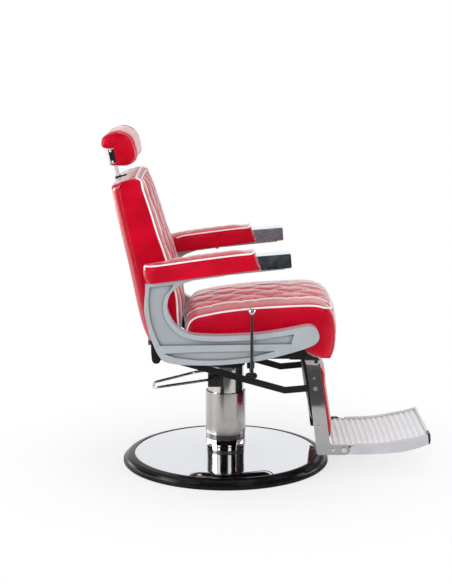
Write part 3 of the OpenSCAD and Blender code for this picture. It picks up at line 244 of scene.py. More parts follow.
def alloy(name):
    """Pale brushed casting, with painted shade in its grooves."""
    s = Shader(name)
    brushed = s.noise(260, 4, 0.65, s.stretched((1, 0.05, 1)))
    tone = s.mix(s.ramp(s.noise(22, 4), 0.3, 0.7), (0.91, 0.95, 0.97), (0.86, 0.90, 0.93))
    # Painted shade: the grooves darken to a dark grey by ambient occlusion
    groove_shade = s.ramp(s.open_air(7), 0.62, 0.98)
    s.set(Metallic=0.0, Base_Color=s.mix(groove_shade, (0.32, 0.33, 0.38), tone), Specular_IOR_Level=0.4)
    s.set(Roughness=s.ramp(brushed, 0.3, 0.7, 0.30, 0.42))
    s.set(Normal=s.bump(brushed, 0.04 * MM, 0.6, s.rounded(0.6)))
    return s.mat


def two_part(name, first, second, axis, start, end, metallic, roughness):
    """One finish up to start and another past end along an axis, in metres in the rest pose."""
    s = Shader(name)
    here = s.axis(s.coords, axis)
    s.set(Base_Color=s.mix(s.ramp(here, start, end), first, second))
    s.set(Metallic=s.ramp(here, start, end, *metallic), Roughness=s.ramp(here, start, end, *roughness))
    s.set(Normal=s.bump(s.noise(420, 3, 0.6), 0.03 * MM, 0.5, s.rounded(0.5)))
    return s.mat


red_leather = leather("red_leather", RED, RED_SHADE)
soft_leather = leather("soft_leather", RED, RED_SHADE, coat=0.45)
patent_leather = leather("patent_leather", RED, RED_SHADE, polish=2.0)
# Red leather bead made pale pink as a painted highlight, on the headrest's seams and the arms' front edges
painted_highlight_bead = leather("painted_highlight_bead", (0.72, 0.16, 0.20), (0.60, 0.10, 0.14), (0.3, 0.45), coat=0.5, grain=0.4)
white_piping = leather("white_piping", (0.93, 0.92, 0.93), (0.84, 0.82, 0.84), (0.3, 0.45), coat=0.5,
                       grain=0.6)
chrome_dome = spun_dome("chrome_dome", (0.75, 0.76, 0.80), [(90, 5), (200, 5), (270, 3.5), (302, 5)],
                        (0.02, 0.05))
chrome_sleeve = chrome("chrome_sleeve", (0.50, 0.48, 0.47), (0.13, 0.24), (6, 6, 0.22), 0.35)
chrome_riser = chrome("chrome_riser", (0.62, 0.60, 0.57), (0.05, 0.12), (6, 6, 0.25), 0.3)
chrome_bar = chrome("chrome_bar", (0.46, 0.445, 0.45), (0.05, 0.11), (5, 5, 0.4), 0.15)
chrome_trim = chrome("chrome_trim", (0.80, 0.84, 0.92), (0.08, 0.2), wave=0.5)
# The sitter's left arm end: a copy of the arm-end chrome made bluer and hazier so that it looks paler than
# the right one, as painted reflection
paler_lit_trim = chrome("paler_lit_trim", (0.82, 0.88, 0.97), (0.24, 0.34), wave=0.15)
chrome_dark = chrome("chrome_dark", (0.17, 0.165, 0.17), (0.05, 0.12))
rail_chrome = chrome("rail_chrome", (0.82, 0.83, 0.85), (0.1, 0.2))
bright_steel = chrome("bright_steel", (0.62, 0.62, 0.64), (0.22, 0.38))
# Chrome loop of the pump lever, black towards its lugs
chrome_lever = two_part("chrome_lever", (0.48, 0.45, 0.43), (0.02, 0.02, 0.022), 0, -0.075, -0.065,
                        (1.0, 0.2), (0.1, 0.22))
# Bright ball on the dark rod of the recline lever
chrome_knob = two_part("chrome_knob", (0.75, 0.75, 0.77), (0.07, 0.068, 0.072), 2, 0.559, 0.556, (1.0, 0.8),
                       (0.06, 0.12))
# Bright bolts low on the leg bars, black ones at the seat
leg_steel = two_part("leg_steel", (0.66, 0.66, 0.68), BLACK, 2, 0.345, 0.35, (1.0, 0.0), (0.25, 0.4))
ear_metal = two_part("ear_metal", (0.62, 0.62, 0.64), BLACK, 2, 0.378, 0.382, (0.5, 0.0), (0.3, 0.4))
# White nose strip, dark at the sitter's right end
nose_trim = two_part("nose_trim", (0.90, 0.90, 0.92), (0.012, 0.012, 0.014), 1, -0.128, -0.132,
                     (0.1, 0.0), (0.35, 0.3))
satin_post = painted("satin_post", (0.88, 0.88, 0.87), (0.82, 0.81, 0.80), (0.3, 0.42), 0.03, 500,
                     metallic=0.25)
black_steel = painted("black_steel", (0.010, 0.009, 0.010), (0.006, 0.006, 0.007), (0.38, 0.52), 0.08, 900,
                      level=0.35)
black_gloss = painted("black_gloss", (0.018, 0.017, 0.018), (0.010, 0.010, 0.011), (0.12, 0.24), 0.2, 160,
                      metallic=0.4, coat=0.4, level=0.6)
red_steel = painted("red_steel", (0.16, 0.004, 0.012), (0.09, 0.002, 0.007), (0.35, 0.5), 0.08, 900)
# Cast frame paint, with painted shade on its pocket floors and in its corners
cast_paint = painted("cast_paint", (0.44, 0.475, 0.505), (0.40, 0.435, 0.465), (0.30, 0.42), 0.06, 600,
                     metallic=0.15, coat=0.6, edge=1.8, pocket_shade=(0.38, 0.412, 0.44))
# Black cloth under the seat board, also used as painted shade inside the post's slot
black_cloth_and_shade = painted("black_cloth_and_shade", (0.012, 0.011, 0.012), (0.007, 0.006, 0.007), (0.8, 0.95), 0.4, 1500,
                      level=0.1)
black_plastic = painted("black_plastic", BLACK, BLACK_SHADE, (0.42, 0.55), 0.12, 1200, level=0.35)
rubber = painted("rubber", (0.004, 0.004, 0.0045), (0.006, 0.006, 0.0065), (0.16, 0.24), 0.03, 500,
                 level=0.16)
band_rubber = painted("band_rubber", (0.05, 0.045, 0.042), (0.03, 0.027, 0.026), (0.12, 0.22), 0.10, 800,
                      coat=0.5)
foot_alloy = alloy("foot_alloy")
cheek_alloy = painted("cheek_alloy", (0.60, 0.59, 0.63), (0.52, 0.51, 0.55), (0.3, 0.42), 0.04, 500,
                      metallic=0.3)
brass = painted("brass", (0.62, 0.47, 0.34), (0.50, 0.36, 0.25), (0.25, 0.4), 0.04, 500, metallic=0.6)

NODE_MATERIALS = {
    rubber: ["base_edge", "sleeve_wiper", "piston_seal"],
    band_rubber: ["column_band"],
    chrome_dome: ["base_cover"],
    chrome_sleeve: ["column_sleeve"],
    chrome_riser: ["riser_sleeve", "column_collar", "ram"],
    chrome_bar: ["leg_bars"],
    chrome_lever: ["pump_lever"],
    satin_post: ["headrest_post"],
    rail_chrome: ["headrest_rail"],
    chrome_trim: ["arm_end_right"],
    paler_lit_trim: ["arm_end_left"],
    chrome_dark: ["lock_rod"],
    chrome_knob: ["recline_lever"],
    bright_steel: ["pump_cylinder", "pump_bolts", "thrust_bearing", "swivel_nut", "frame_bolts", "tilt_pin",
                   "release_rod", "lock_cylinder"],
    leg_steel: ["leg_pins"],
    black_steel: ["base_plate", "pump_gland", "swivel_head", "rear_channel", "seat_rails", "cross_members",
                  "frame_brackets", "hinge_uprights", "shaft_bearings", "back_base_plate", "hinge_plates",
                  "back_pins", "post_guide", "link_bars", "arm_screws"],
    black_gloss: ["lever_lugs", "recline_shaft"],
    red_steel: ["front_channel"],
    cast_paint: ["side_frame_right", "side_frame_left"],
    black_plastic: ["rail_caps", "calf_panel"],
    nose_trim: ["foot_nose"],
    black_cloth_and_shade: ["seat_board"],
    foot_alloy: ["foot_deck"],
    cheek_alloy: ["foot_cheeks"],
    ear_metal: ["footrest_ears"],
}
for finish, names in NODE_MATERIALS.items():
    for name in names:
        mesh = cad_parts[name].data
        mesh.materials.clear()
        mesh.materials.append(finish)


# ---------- shapes, in millimetres ----------

def smooth_curve(points, steps):
    """Catmull-Rom curve through 2-D or 3-D points."""
    p = np.array(points, float)
    q = np.vstack([p[:1], p, p[-1:]])
    out = []
    for i in range(len(p) - 1):
        a, b, c, d = q[i], q[i + 1], q[i + 2], q[i + 3]
        for k in range(steps):
            t = k / steps
            cubic = (3 * b - a - 3 * c + d) * t ** 3
            out.append(0.5 * (2 * b + (c - a) * t + (2 * a - 5 * b + 4 * c - d) * t * t + cubic))
    out.append(p[-1])
    return np.array(out)


def run_length(p):
    return np.concatenate([[0], np.cumsum(np.linalg.norm(np.diff(p, axis=0), axis=1))])


def even_points(p, n):
    length = run_length(p)
    s = np.linspace(0, length[-1], n + 1)
    return np.stack([np.interp(s, length, p[:, k]) for k in range(p.shape[1])], 1)


def side_normals(p):
    t = np.gradient(p, axis=0)
    t /= np.linalg.norm(t, axis=1)[:, None]
    return np.stack([-t[:, 1], t[:, 0]], 1)


def smooth_step(t):
    u = np.clip(t, 0, 1)
    return u * u * (3 - 2 * u)


def shaded(name, verts, faces, finish, body):
    """Closed mesh from points in metres, with its faces turned out, riding on a body."""
    mesh = bpy.data.meshes.new(name)
    mesh.from_pydata([tuple(v) for v in verts], [], faces)
    mesh.update()
    work = bmesh.new()
    work.from_mesh(mesh)
    bmesh.ops.recalc_face_normals(work, faces=work.faces)
    if work.calc_volume(signed=True) < 0:
        bmesh.ops.reverse_faces(work, faces=work.faces)
    work.to_mesh(mesh)
    work.free()
    mesh.polygons.foreach_set("use_smooth", [True] * len(mesh.polygons))
    mesh.set_sharp_from_angle(angle=SHARP)
    mesh.materials.append(finish)
    made = bpy.data.objects.new(name, mesh)
    bpy.context.scene.collection.objects.link(made)
    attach(made, body)
    return made


class Pad:
    """A cushion as one closed skin: a top sheet along a side outline, two side faces and a base.

    The outline runs in x and z from the base's rear end over the top to its front end."""

    def __init__(self, outline, base, half, mid=0.0, step=5.0, edge=8.0, side_rows=14):
        curve = smooth_curve(outline, 10)
        self.n = int(round(run_length(curve)[-1] / step))
        self.top = even_points(curve, self.n)
        self.base = even_points(np.array(base, float), self.n)
        self.s = run_length(self.top)
        self.length = self.s[-1]
        self.half, self.mid = half, mid
        inner = np.linspace(-(half - edge), half - edge, int(round(2 * (half - edge) / step)) + 1)
        bend = np.radians([22.5, 45, 67.5, 90])
        outer = half - edge + edge * np.sin(bend)
        self.ys = np.concatenate([-outer[::-1], inner, outer])
        drop = edge * (1 - np.cos(bend))
        inset = np.concatenate([drop[::-1], np.zeros(len(inner)), drop])
        normals = side_normals(self.top)
        self.m = len(self.ys) - 1
        self.side_rows = side_rows
        shape = (self.n + 1, self.m + 1)
        fade = smooth_step(np.minimum(self.s, self.length - self.s) / max(2.5 * edge, 1))
        sheet = self.top[:, None, :] - (inset[None, :] * fade[:, None])[:, :, None] * normals[:, None, :]
        self.sheet = np.stack([sheet[..., 0], np.broadcast_to(self.ys + mid, shape), sheet[..., 1]], 2)
        self.out = np.stack([normals[:, 0], np.zeros(self.n + 1), normals[:, 1]], 1)
        self.S, self.Y = np.meshgrid(self.s, self.ys, indexing="ij")
        self.seam = np.zeros(shape)
        self.slimmer = lambda x, z: 0.0 * x

    def lift(self, amount):
        """Moves the top sheet along its normals by amount, one value per point of the sheet."""
        self.sheet = self.sheet + amount[..., None] * self.out[:, None, :]

    def narrow(self, amount):
        """Pulls the sheet and the sides in towards the middle by amount(x, z) at the edges."""
        self.slimmer = amount
        self.sheet = self.slimmed(self.sheet)

    def slimmed(self, p):
        across = p[..., 1] - self.mid
        out = p.copy()
        share = smooth_step((np.abs(across) / self.half - 0.5) / 0.5)
        out[..., 1] -= np.sign(across) * self.slimmer(p[..., 0], p[..., 2]) * share
        return out

    def skin(self, bulge):
        """Points and faces of the closed skin, whose sides swell by bulge(x, z). index[i, j] gives the
        sheet's points in it."""
        n, m, k = self.n, self.m, self.side_rows
        loop, sheet_column = [], []
        low = np.stack([self.base[:, 0], np.zeros(n + 1), self.base[:, 1]], 1)
        for j in range(m + 1):
            loop.append(self.sheet[:, j])
            sheet_column.append(j)
        reach = smooth_step(np.minimum(self.s, self.length - self.s) / 60)
        for side, edge_column in ((1, m), (-1, 0)):
            rows = []
            for t in np.arange(1, k) / k:
                p = self.sheet[:, edge_column] * (1 - t) + low * t
                swell = bulge(p[:, 0], p[:, 2])
                p[:, 1] = self.mid + side * self.half
                p = self.slimmed(p)
                p[:, 1] += side * swell * reach * (4 * t * (1 - t)) ** 0.5
                rows.append(p)
            if side == 1:
                loop += rows
                sheet_column += [m] * len(rows)
                for j in range(m, -1, -1):
                    p = low.copy()
                    p[:, 1] = self.mid + self.ys[j]
                    loop.append(self.slimmed(p))
                    sheet_column.append(j)
            else:
                loop += rows[::-1]
                sheet_column += [0] * len(rows)
        rings = np.stack(loop, 1)
        count = rings.shape[1]
        verts = [self.sheet[0], rings[1:n].reshape(-1, 3), self.sheet[n]]
        column = np.array(sheet_column)

        def at(i, c):
            c %= count
            if i == 0:
                return int(column[c])
            if i == n:
                return (m + 1) + (n - 1) * count + int(column[c])
            return (m + 1) + (i - 1) * count + c

        faces = []
        for i in range(n):
            for c in range(count):
                face = []
                for v in (at(i, c), at(i, c + 1), at(i + 1, c + 1), at(i + 1, c)):
                    if v not in face:
                        face.append(v)
                if len(face) > 2:
                    faces.append(face)
        self.index = np.array([[at(i, j) for j in range(m + 1)] for i in range(n + 1)])
        return np.vstack(verts), faces

    def read(self, mesh):
        """Takes the sheet's points back from a mesh whose first points are the skin's."""
        co = np.zeros(len(mesh.vertices) * 3)
        mesh.vertices.foreach_get("co", co)
        self.sheet = co.reshape(-1, 3)[self.index] / MM

    def surface(self, s, y, proud=0.0):
        """Point of the sheet at length s and width y, proud of it along its normal."""
        i = np.interp(s, self.s, np.arange(self.n + 1))
        j = np.interp(y, self.ys, np.arange(self.m + 1))
        i0, j0 = min(int(i), self.n - 1), min(int(j), self.m - 1)
        a, b = i - i0, j - j0
        g = self.sheet
        p = (g[i0, j0] * (1 - a) * (1 - b) + g[i0 + 1, j0] * a * (1 - b)
             + g[i0, j0 + 1] * (1 - a) * b + g[i0 + 1, j0 + 1] * a * b)
        along = g[i0 + 1, j0] - g[i0, j0] + g[i0 + 1, j0 + 1] - g[i0, j0 + 1]
        across = g[i0, j0 + 1] - g[i0, j0] + g[i0 + 1, j0 + 1] - g[i0 + 1, j0]
        normal = np.cross(across, along)
        normal /= max(np.linalg.norm(normal), 1e-9)
        if normal @ self.out[i0] < 0:
            normal = -normal
        return p + proud * normal


def pillows(s, y, width, count, length):
    """Height of diamond quilting: 0 on the stitched lines, 1 in the middle of each diamond."""
    v = y * count / width
    u = s / length
    return np.abs(np.sin(np.pi * (u + v)) * np.sin(np.pi * (u - v))) ** 0.42


def tube(name, points, radius, finish, body, closed=False, sides=10):
    """Round piping along points."""
    p = np.array(points, float)
    if closed:
        ahead, behind = np.roll(p, -1, 0), np.roll(p, 1, 0)
    else:
        ahead, behind = np.vstack([p[1:], p[-1:]]), np.vstack([p[:1], p[:-1]])
    t = ahead - behind
    t /= np.linalg.norm(t, axis=1)[:, None]
    up = np.cross(t[0], [0.3, 0.5, 0.8])
    up /= np.linalg.norm(up)
    verts = []
    for k in range(len(p)):
        up = up - (up @ t[k]) * t[k]
        up /= np.linalg.norm(up)
        side = np.cross(t[k], up)
        # Open ends taper
        r = radius * (1 if closed or 0 < k < len(p) - 1 else 0.55)
        for a in np.arange(sides) / sides * 2 * math.pi:
            verts.append((p[k] + r * (math.cos(a) * up + math.sin(a) * side)) * MM)
    last = (len(p) - 1) * sides
    faces = []
    for k in range(0, last, sides):
        for a in range(sides):
            b = (a + 1) % sides
            faces.append([k + a, k + b, k + sides + b, k + sides + a])
    if closed:
        # The last ring joins the first one, turned so that the nearest points meet
        gap = [np.linalg.norm(np.array(verts[j]) - np.array(verts[last])) for j in range(sides)]
        shift = int(np.argmin(gap))
        for a in range(sides):
            faces.append([last + a, last + (a + 1) % sides, (a + 1 + shift) % sides, (a + shift) % sides])
    else:
        faces += [list(range(sides)), list(range(last, last + sides))]
    return shaded(name, verts, faces, finish, body)


def rounded_loop(s0, s1, y0, y1, r):
    """Points about 4 mm apart, in length and width, round a rectangle with rounded corners."""
    pts = []
    corners = ((s1 - r, y1 - r, 0), (s0 + r, y1 - r, 90), (s0 + r, y0 + r, 180), (s1 - r, y0 + r, 270))
    for cs, cy, a0 in corners:
        for a in np.radians(a0 + np.linspace(0, 90, 9)):
            pts.append((cs + r * math.cos(a), cy + r * math.sin(a)))
    pts.append(pts[0])
    p = np.array(pts)
    count = int(run_length(p)[-1] / 4.0)
    return even_points(p, count)[:-1]


def slab(name, points, y0, y1, finish, body):
    """Flat plate with an outline in x and z, between two widths."""
    n = len(points)
    verts = np.array([(x, y, z) for y in (y0, y1) for x, z in points]) * MM
    faces = [list(range(n)), list(range(n, 2 * n))]
    faces += [[i, (i + 1) % n, n + (i + 1) % n, n + i] for i in range(n)]
    return shaded(name, verts, faces, finish, body)


def button(name, x, z, y0, y1, r, finish, body, sides=20):
    """Low round screw head facing along y."""
    angles = np.arange(sides) / sides * 2 * math.pi
    shoulder = y0 + 0.6 * (y1 - y0)
    rings = []
    for y, share in ((y0, 1.0), (shoulder, 1.0), (y1, 0.6)):
        rings += [(x + share * r * math.cos(a), y, z + share * r * math.sin(a)) for a in angles]
    faces = [list(range(sides)), list(range(2 * sides, 3 * sides))]
    for row in (0, sides):
        for i in range(sides):
            j = (i + 1) % sides
            faces.append([row + i, row + j, row + sides + j, row + sides + i])
    return shaded(name, np.array(rings) * MM, faces, finish, body)


# ---------- upholstery ----------

def puff(obj, free, cap):
    """Swells a skin under pressure where free is 1, by up to cap; seams and the base stay where they are."""
    frames = 16
    mesh = obj.data
    rest = np.zeros(len(mesh.vertices) * 3)
    mesh.vertices.foreach_get("co", rest)
    rest = rest.reshape(-1, 3)
    held = obj.vertex_groups.new(name="held")
    for value in (0.5, 1.0):
        chosen = [int(i) for i in np.nonzero((1 - free) >= value - 0.25)[0]]
        held.add(chosen, value, "REPLACE")
    cloth = obj.modifiers.new("swell", "CLOTH")
    cs = cloth.settings
    cs.quality = 5
    cs.mass = 0.3
    cs.tension_stiffness = cs.compression_stiffness = 12
    cs.shear_stiffness = 5
    cs.bending_stiffness = 0.6
    cs.use_pressure = True
    cs.uniform_pressure_force = 4.0
    cs.vertex_group_mass = "held"
    cs.pin_stiffness = 1.0
    cs.shrink_min = -0.02
    cs.effector_weights.gravity = 0
    cloth.collision_settings.use_collision = False
    cloth.collision_settings.use_self_collision = False
    cloth.point_cache.frame_start, cloth.point_cache.frame_end = 1, frames
    for f in range(1, frames + 1):
        bpy.context.scene.frame_set(f)
    done = obj.evaluated_get(bpy.context.evaluated_depsgraph_get()).to_mesh()
    co = np.zeros(len(done.vertices) * 3)
    done.vertices.foreach_get("co", co)
    moved = co.reshape(-1, 3) - rest
    obj.modifiers.remove(cloth)
    bpy.context.scene.frame_set(1)
    far = np.linalg.norm(moved, axis=1)
    limit = cap * MM * np.tanh(far / (cap * MM)) / np.maximum(far, 1e-9)
    moved *= limit[:, None] * free[:, None]
    mesh.vertices.foreach_set("co", (rest + moved).ravel())
    mesh.update()


def subdivide(obj):
    sub = obj.modifiers.new("fine", "SUBSURF")
    sub.levels = sub.render_levels = 1
    bpy.context.view_layer.update()
    done = bpy.data.meshes.new_from_object(obj.evaluated_get(bpy.context.evaluated_depsgraph_get()))
    obj.modifiers.remove(sub)
    old = obj.data
    obj.data = done
    done.name = obj.name
    bpy.data.meshes.remove(old)
    done.polygons.foreach_set("use_smooth", [True] * len(done.polygons))
    done.set_sharp_from_angle(angle=SHARP)


def upholster(name, body, pad, node, cap, bulge, free_sheet, finish=red_leather):
    """Makes a pad's skin in place of a CAD cushion. Its sides swell by bulge: a size, or a function of x
    and z."""
    verts, faces = pad.skin(bulge if callable(bulge) else lambda x, z: bulge)
    obj = shaded(name, verts * MM, faces, finish, body)
    sheet_points = pad.index.ravel()
    pulled = np.zeros(len(verts))
    pulled[sheet_points] = pad.seam.ravel()
    obj.data.attributes.new("seam", "FLOAT", "POINT").data.foreach_set("value", pulled)
    free = np.zeros(len(verts))
    free[sheet_points] = free_sheet.ravel()
    side = np.abs(np.abs(verts[:, 1] - pad.mid) - pad.half) < 12
    side[sheet_points] = False
    # The sides are about a third as free as the pillows
    free[side] = 0.35
    puff(obj, free, cap)
    pad.read(obj.data)
    subdivide(obj)
    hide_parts(node)


def free_middle(pad, across, start, end):
    """1 on the sheet, falling to 0 over these distances from its sides, its start and its end."""
    return (smooth_step((pad.half - np.abs(pad.Y)) / across) * smooth_step(pad.S / start)
            * smooth_step((pad.length - pad.S) / end))


# Width of the seat's quilted panel, diamonds across it, and length of a diamond
QUILT_W, QUILT_N, QUILT_LEN = 280.0, 2.8, 144.0


def quilted(pad, s0, s1, ends, half_quilt):
    """Crown, quilted panel between lengths s0 and s1, and the dip of the seam round it. Returns how free the
    sheet is to swell: held on the stitched lines, free on the pillows and the plain band."""
    crown, depth = 13, 3.4
    window = smooth_step((pad.s - ends[0]) / 60) * smooth_step((pad.length - ends[1] - pad.s) / 60)
    pad.lift(window[:, None] * crown * (1 - (pad.Y / pad.half) ** 2))
    inside = (smooth_step((half_quilt - np.abs(pad.Y)) / 7) * smooth_step((pad.S - s0) / 7)
              * smooth_step((s1 - pad.S) / 7))
    high = pillows(pad.S - s0, pad.Y, QUILT_W, QUILT_N, QUILT_LEN)
    pad.lift(-depth * (1 - high) * inside)
    beside = np.maximum(np.abs(pad.Y) - half_quilt, np.maximum(s0 - pad.S, pad.S - s1))
    pad.lift(-2.6 * np.exp(-(beside / 6.0) ** 2) * window[:, None])
    # seam is how far the leather is pulled in on the stitched lines and round the panel; the leather gets
    # painted shade and less gloss there
    pad.seam = np.clip(inside * smooth_step(1 - high / 0.34) + 0.6 * np.exp(-(beside / 4.0) ** 2), 0, 1)
    return np.clip(np.where(inside > 0.5, smooth_step(high * 1.6), 1), 0, 1)


def piping(name, body, pad, s0, s1, half, corner, proud, radius):
    """Closed loop of white piping on a pad."""
    line = [pad.surface(s, w, proud) for s, w in rounded_loop(s0, s1, -half, half, corner)]
    tube(name, line, radius, white_piping, body, True)


# Seat

SEAT = [(-122, 429.6), (-125, 470), (-119, 505), (-98, 527), (-60, 537), (0, 548), (90, 558), (190, 564),
        (270, 566), (312, 557), (333, 535), (341, 495), (342, 450), (337, 412), (327, 394)]
SEAT_UNDER = [(-122, 429.6), (60, 429.6), (240, 429.6), (264, 412), (300, 397), (327, 394)]

seat = Pad(SEAT, SEAT_UNDER, 228, step=4.0, edge=9, side_rows=24)
seat_s0, seat_s1 = 62.0, seat.length - 40.0
seat_free = quilted(seat, seat_s0, seat_s1, (20, 40), QUILT_W / 2)
seat.narrow(lambda x, z: 11.0 * smooth_step((x - 296) / 46))
seat_free *= free_middle(seat, 12, 40, 30)
upholster("seat_upholstery", "carriage", seat, "seat_cushion", cap=2.4, bulge=5.0, free_sheet=seat_free)
piping("seat_piping_inner", "carriage", seat, seat_s0, seat_s1, QUILT_W / 2, 22, 0.8, 2.3)
piping("seat_piping_outer", "carriage", seat, 24, seat.length - 158, seat.half - 2.2, 26, 1.4, 3.0)

# Backrest

BACK_FRONT = [(-321, 949), (-300, 955), (-282, 957), (-267, 952), (-254, 927), (-234, 868), (-210, 788),
              (-185, 713), (-158, 615), (-151, 575), (-149, 530), (-146, 490), (-147, 458), (-160, 447.3)]
BACK_REAR = [(-241, 447), (-258, 485), (-273, 540), (-291, 628), (-306, 700), (-329, 801), (-350, 900),
             (-354, 928), (-346, 940)]
BACK_QUILT_HALF = 158.0
# Thickness of the rear panel
PANEL = 24.0


def panel_front(proud):
    """Front line of the rear panel, further forward by proud, which rises at the top."""
    return [(x + PANEL + proud, z + 0.4 * PANEL * float(smooth_step((z - 900) / 40))) for x, z in BACK_REAR]


back_base = panel_front(0.3)[::-1] + [(-205, 447.3), (-160, 447.3)]
back_base[0] = BACK_FRONT[0]
back = Pad(BACK_FRONT, back_base, 215, step=4.0, edge=9, side_rows=20)
back_s0, back_s1 = 58.0, back.length - 62.0
back_free = quilted(back, back_s0, back_s1, (46, 30), BACK_QUILT_HALF)
back.narrow(lambda x, z: 9.0 * smooth_step((z - 905) / 50))
back_free *= free_middle(back, 12, 30, 30)
upholster("back_upholstery", "backrest", back, "back_cushion", cap=2.4,
          bulge=lambda x, z: 0.6 + 3.9 * smooth_step((z - 590) / 60), free_sheet=back_free,
          finish=soft_leather)
piping("back_piping_inner", "backrest", back, back_s0, back_s1, BACK_QUILT_HALF, 34, 0.8, 2.3)
piping("back_piping_outer", "backrest", back, 42, back.length - 14, back.half - 2.2, 45, 1.4, 3.2)


def rear_panel():
    """Rear panel of the backrest: a crowned sheet whose edges turn forward to the cushion."""
    rows, flat_columns = 110, 72
    half, edge = 214.0, 22.0
    rear = even_points(smooth_curve(BACK_REAR, 8), rows)
    front = even_points(np.array(panel_front(2.5)), rows)
    normal = side_normals(rear)
    bend = np.radians(np.linspace(0, 90, 7))
    outer = half - edge + edge * np.sin(bend)
    flat = np.linspace(-(half - edge), half - edge, flat_columns + 2)[1:-1]
    drop = edge * (1 - np.cos(bend))
    rings = []
    for y, d in zip(np.concatenate([-outer[::-1], flat, outer]),
                    np.concatenate([drop[::-1], np.zeros(flat_columns), drop])):
        skin = rear + (2.5 * (1 - (y / half) ** 2) - d) * normal
        rings.append([(x, y, z) for x, z in np.vstack([skin, front[::-1]])])
    count = len(rings[0])
    last = (len(rings) - 1) * count
    faces = []
    for j in range(0, last, count):
        for i in range(count):
            k = (i + 1) % count
            faces.append([j + i, j + k, j + count + k, j + count + i])
    for j in (0, last):
        faces += [[j + i, j + i + 1, j + count - 2 - i, j + count - 1 - i] for i in range(rows)]
    obj = shaded("back_panel_cover", np.array(rings).reshape(-1, 3) * MM, faces, patent_leather, "backrest")
    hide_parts("back_panel")


rear_panel()
# Black plate filling the slot where the headrest post goes in: painted shade of the opening
slab("post_slot", [(-342, 940), (-319, 948), (-319, 953), (-342, 944.8)], -13.0, 13.0, black_cloth_and_shade,
     "backrest")

# Headrest

HEAD = [(-373, 1046), (-385, 1049), (-389, 1060), (-384, 1076), (-371, 1088), (-352, 1096), (-331, 1099),
        (-309, 1093), (-293, 1078), (-283, 1054), (-278, 1031), (-280, 1013), (-291, 1000), (-310, 993.5),
        (-334, 992), (-354, 992), (-362, 996.5)]
TILT_PIVOT = (-362, 1020)
# Lean of the headrest's post
LEAN = math.radians(12)


def on_post(depth, height):
    """Point at a depth in front of the tilt pivot and a height along the leaning post."""
    return (TILT_PIVOT[0] + depth * math.cos(LEAN) - height * math.sin(LEAN),
            TILT_PIVOT[1] + depth * math.sin(LEAN) + height * math.cos(LEAN))


def post_plate(name, depths, heights, y0, y1):
    """Thin bright plate on the headrest's rail."""
    (d0, d1), (h0, h1) = depths, heights
    corners = [on_post(d0, h0), on_post(d1, h0), on_post(d1, h1), on_post(d0, h1)]
    slab(name, corners, y0, y1, satin_post, "headrest")


head_base = [HEAD[0], on_post(17.3, 24.3), on_post(17.3, 0), on_post(17.3, -21), (-344, 997.5), HEAD[-1]]
head = Pad(HEAD, head_base, 145, step=3.5, edge=15, side_rows=12)
head.lift(1.0 * (1 - (head.Y / head.half) ** 2) * smooth_step(np.minimum(head.S, head.length - head.S) / 30))
upholster("headrest_upholstery", "headrest", head, "headrest_cushion", cap=2.0, bulge=2.5,
          free_sheet=free_middle(head, 20, 25, 25), finish=soft_leather)
for side, label in SIDES:
    line = [head.surface(s, side * (head.half - 4.0), 0.3) for s in np.linspace(95, head.length - 70, 70)]
    # Seams round the headrest's ends, in pale pink leather as a painted highlight
    tube("headrest_seam_" + label, line, 1.1, painted_highlight_bead, "headrest")
    y0, y1 = side * 141.3, side * 142.2
    post_plate("rail_rim_rear_" + label, (-7.5, -0.5), (-24.4, 24.4), y0, y1)
    for height, part in ((-23.2, "low"), (23.2, "high")):
        post_plate("rail_rim_%s_%s" % (part, label), (-0.5, 17), (height - 1.2, height + 1.2), y0, y1)
    for height, part in ((-17, "low"), (17, "high")):
        x, z = on_post(6, height)
        name = "rail_screw_%s_%s" % (part, label)
        button(name, x, z, side * 140.8, side * 143.4, 3.6, satin_post, "headrest")

# Screws and joints of the footrest

for side, label in SIDES:
    for x, r, part in ((337.2, 3.4, "rear"), (378, 4.6, "front")):
        button("foot_screw_%s_%s" % (part, label), x, 82, side * 173.6, side * 176.4, r, brass, "footrest")
    joint = [(396.5, 68), (400, 68), (399.5, 95), (396.5, 95)]
    slab("cheek_joint_" + label, joint, side * 168.0, side * 168.8, black_plastic, "footplate")

# Arm pads


def arm_outline():
    """Side of an arm pad: a rising underside, a heel at the rear and a slanted front."""
    rear, front, high = -250.0, 80.0, 54.0
    slant, heel = 0.42, 26

    def under(x):
        return 680 + 0.13 * x + 0.3

    tip = front + slant * high
    return [(rear + heel, under(rear + heel)), (rear + 11, under(rear) + 5), (rear + 3, under(rear) + 17),
            (rear + 0.5, under(rear) + 34), (rear + 0.5, under(rear) + high + 1),
            (rear + 4, under(rear) + high + 5.5), (rear + 14, under(rear) + high + 3.5),
            (rear + 60, under(rear + 60) + high + 0.5), (rear + 165, under(rear + 165) + high + 2),
            (front - 60, under(front - 60) + high + 2), (front, under(front) + high + 0.5),
            (front + 9, under(front) + high - 5), (front + slant * high * 0.5 + 4, under(front) + high * 0.5),
            (tip, under(tip) + 4), (tip - 5, under(tip))]


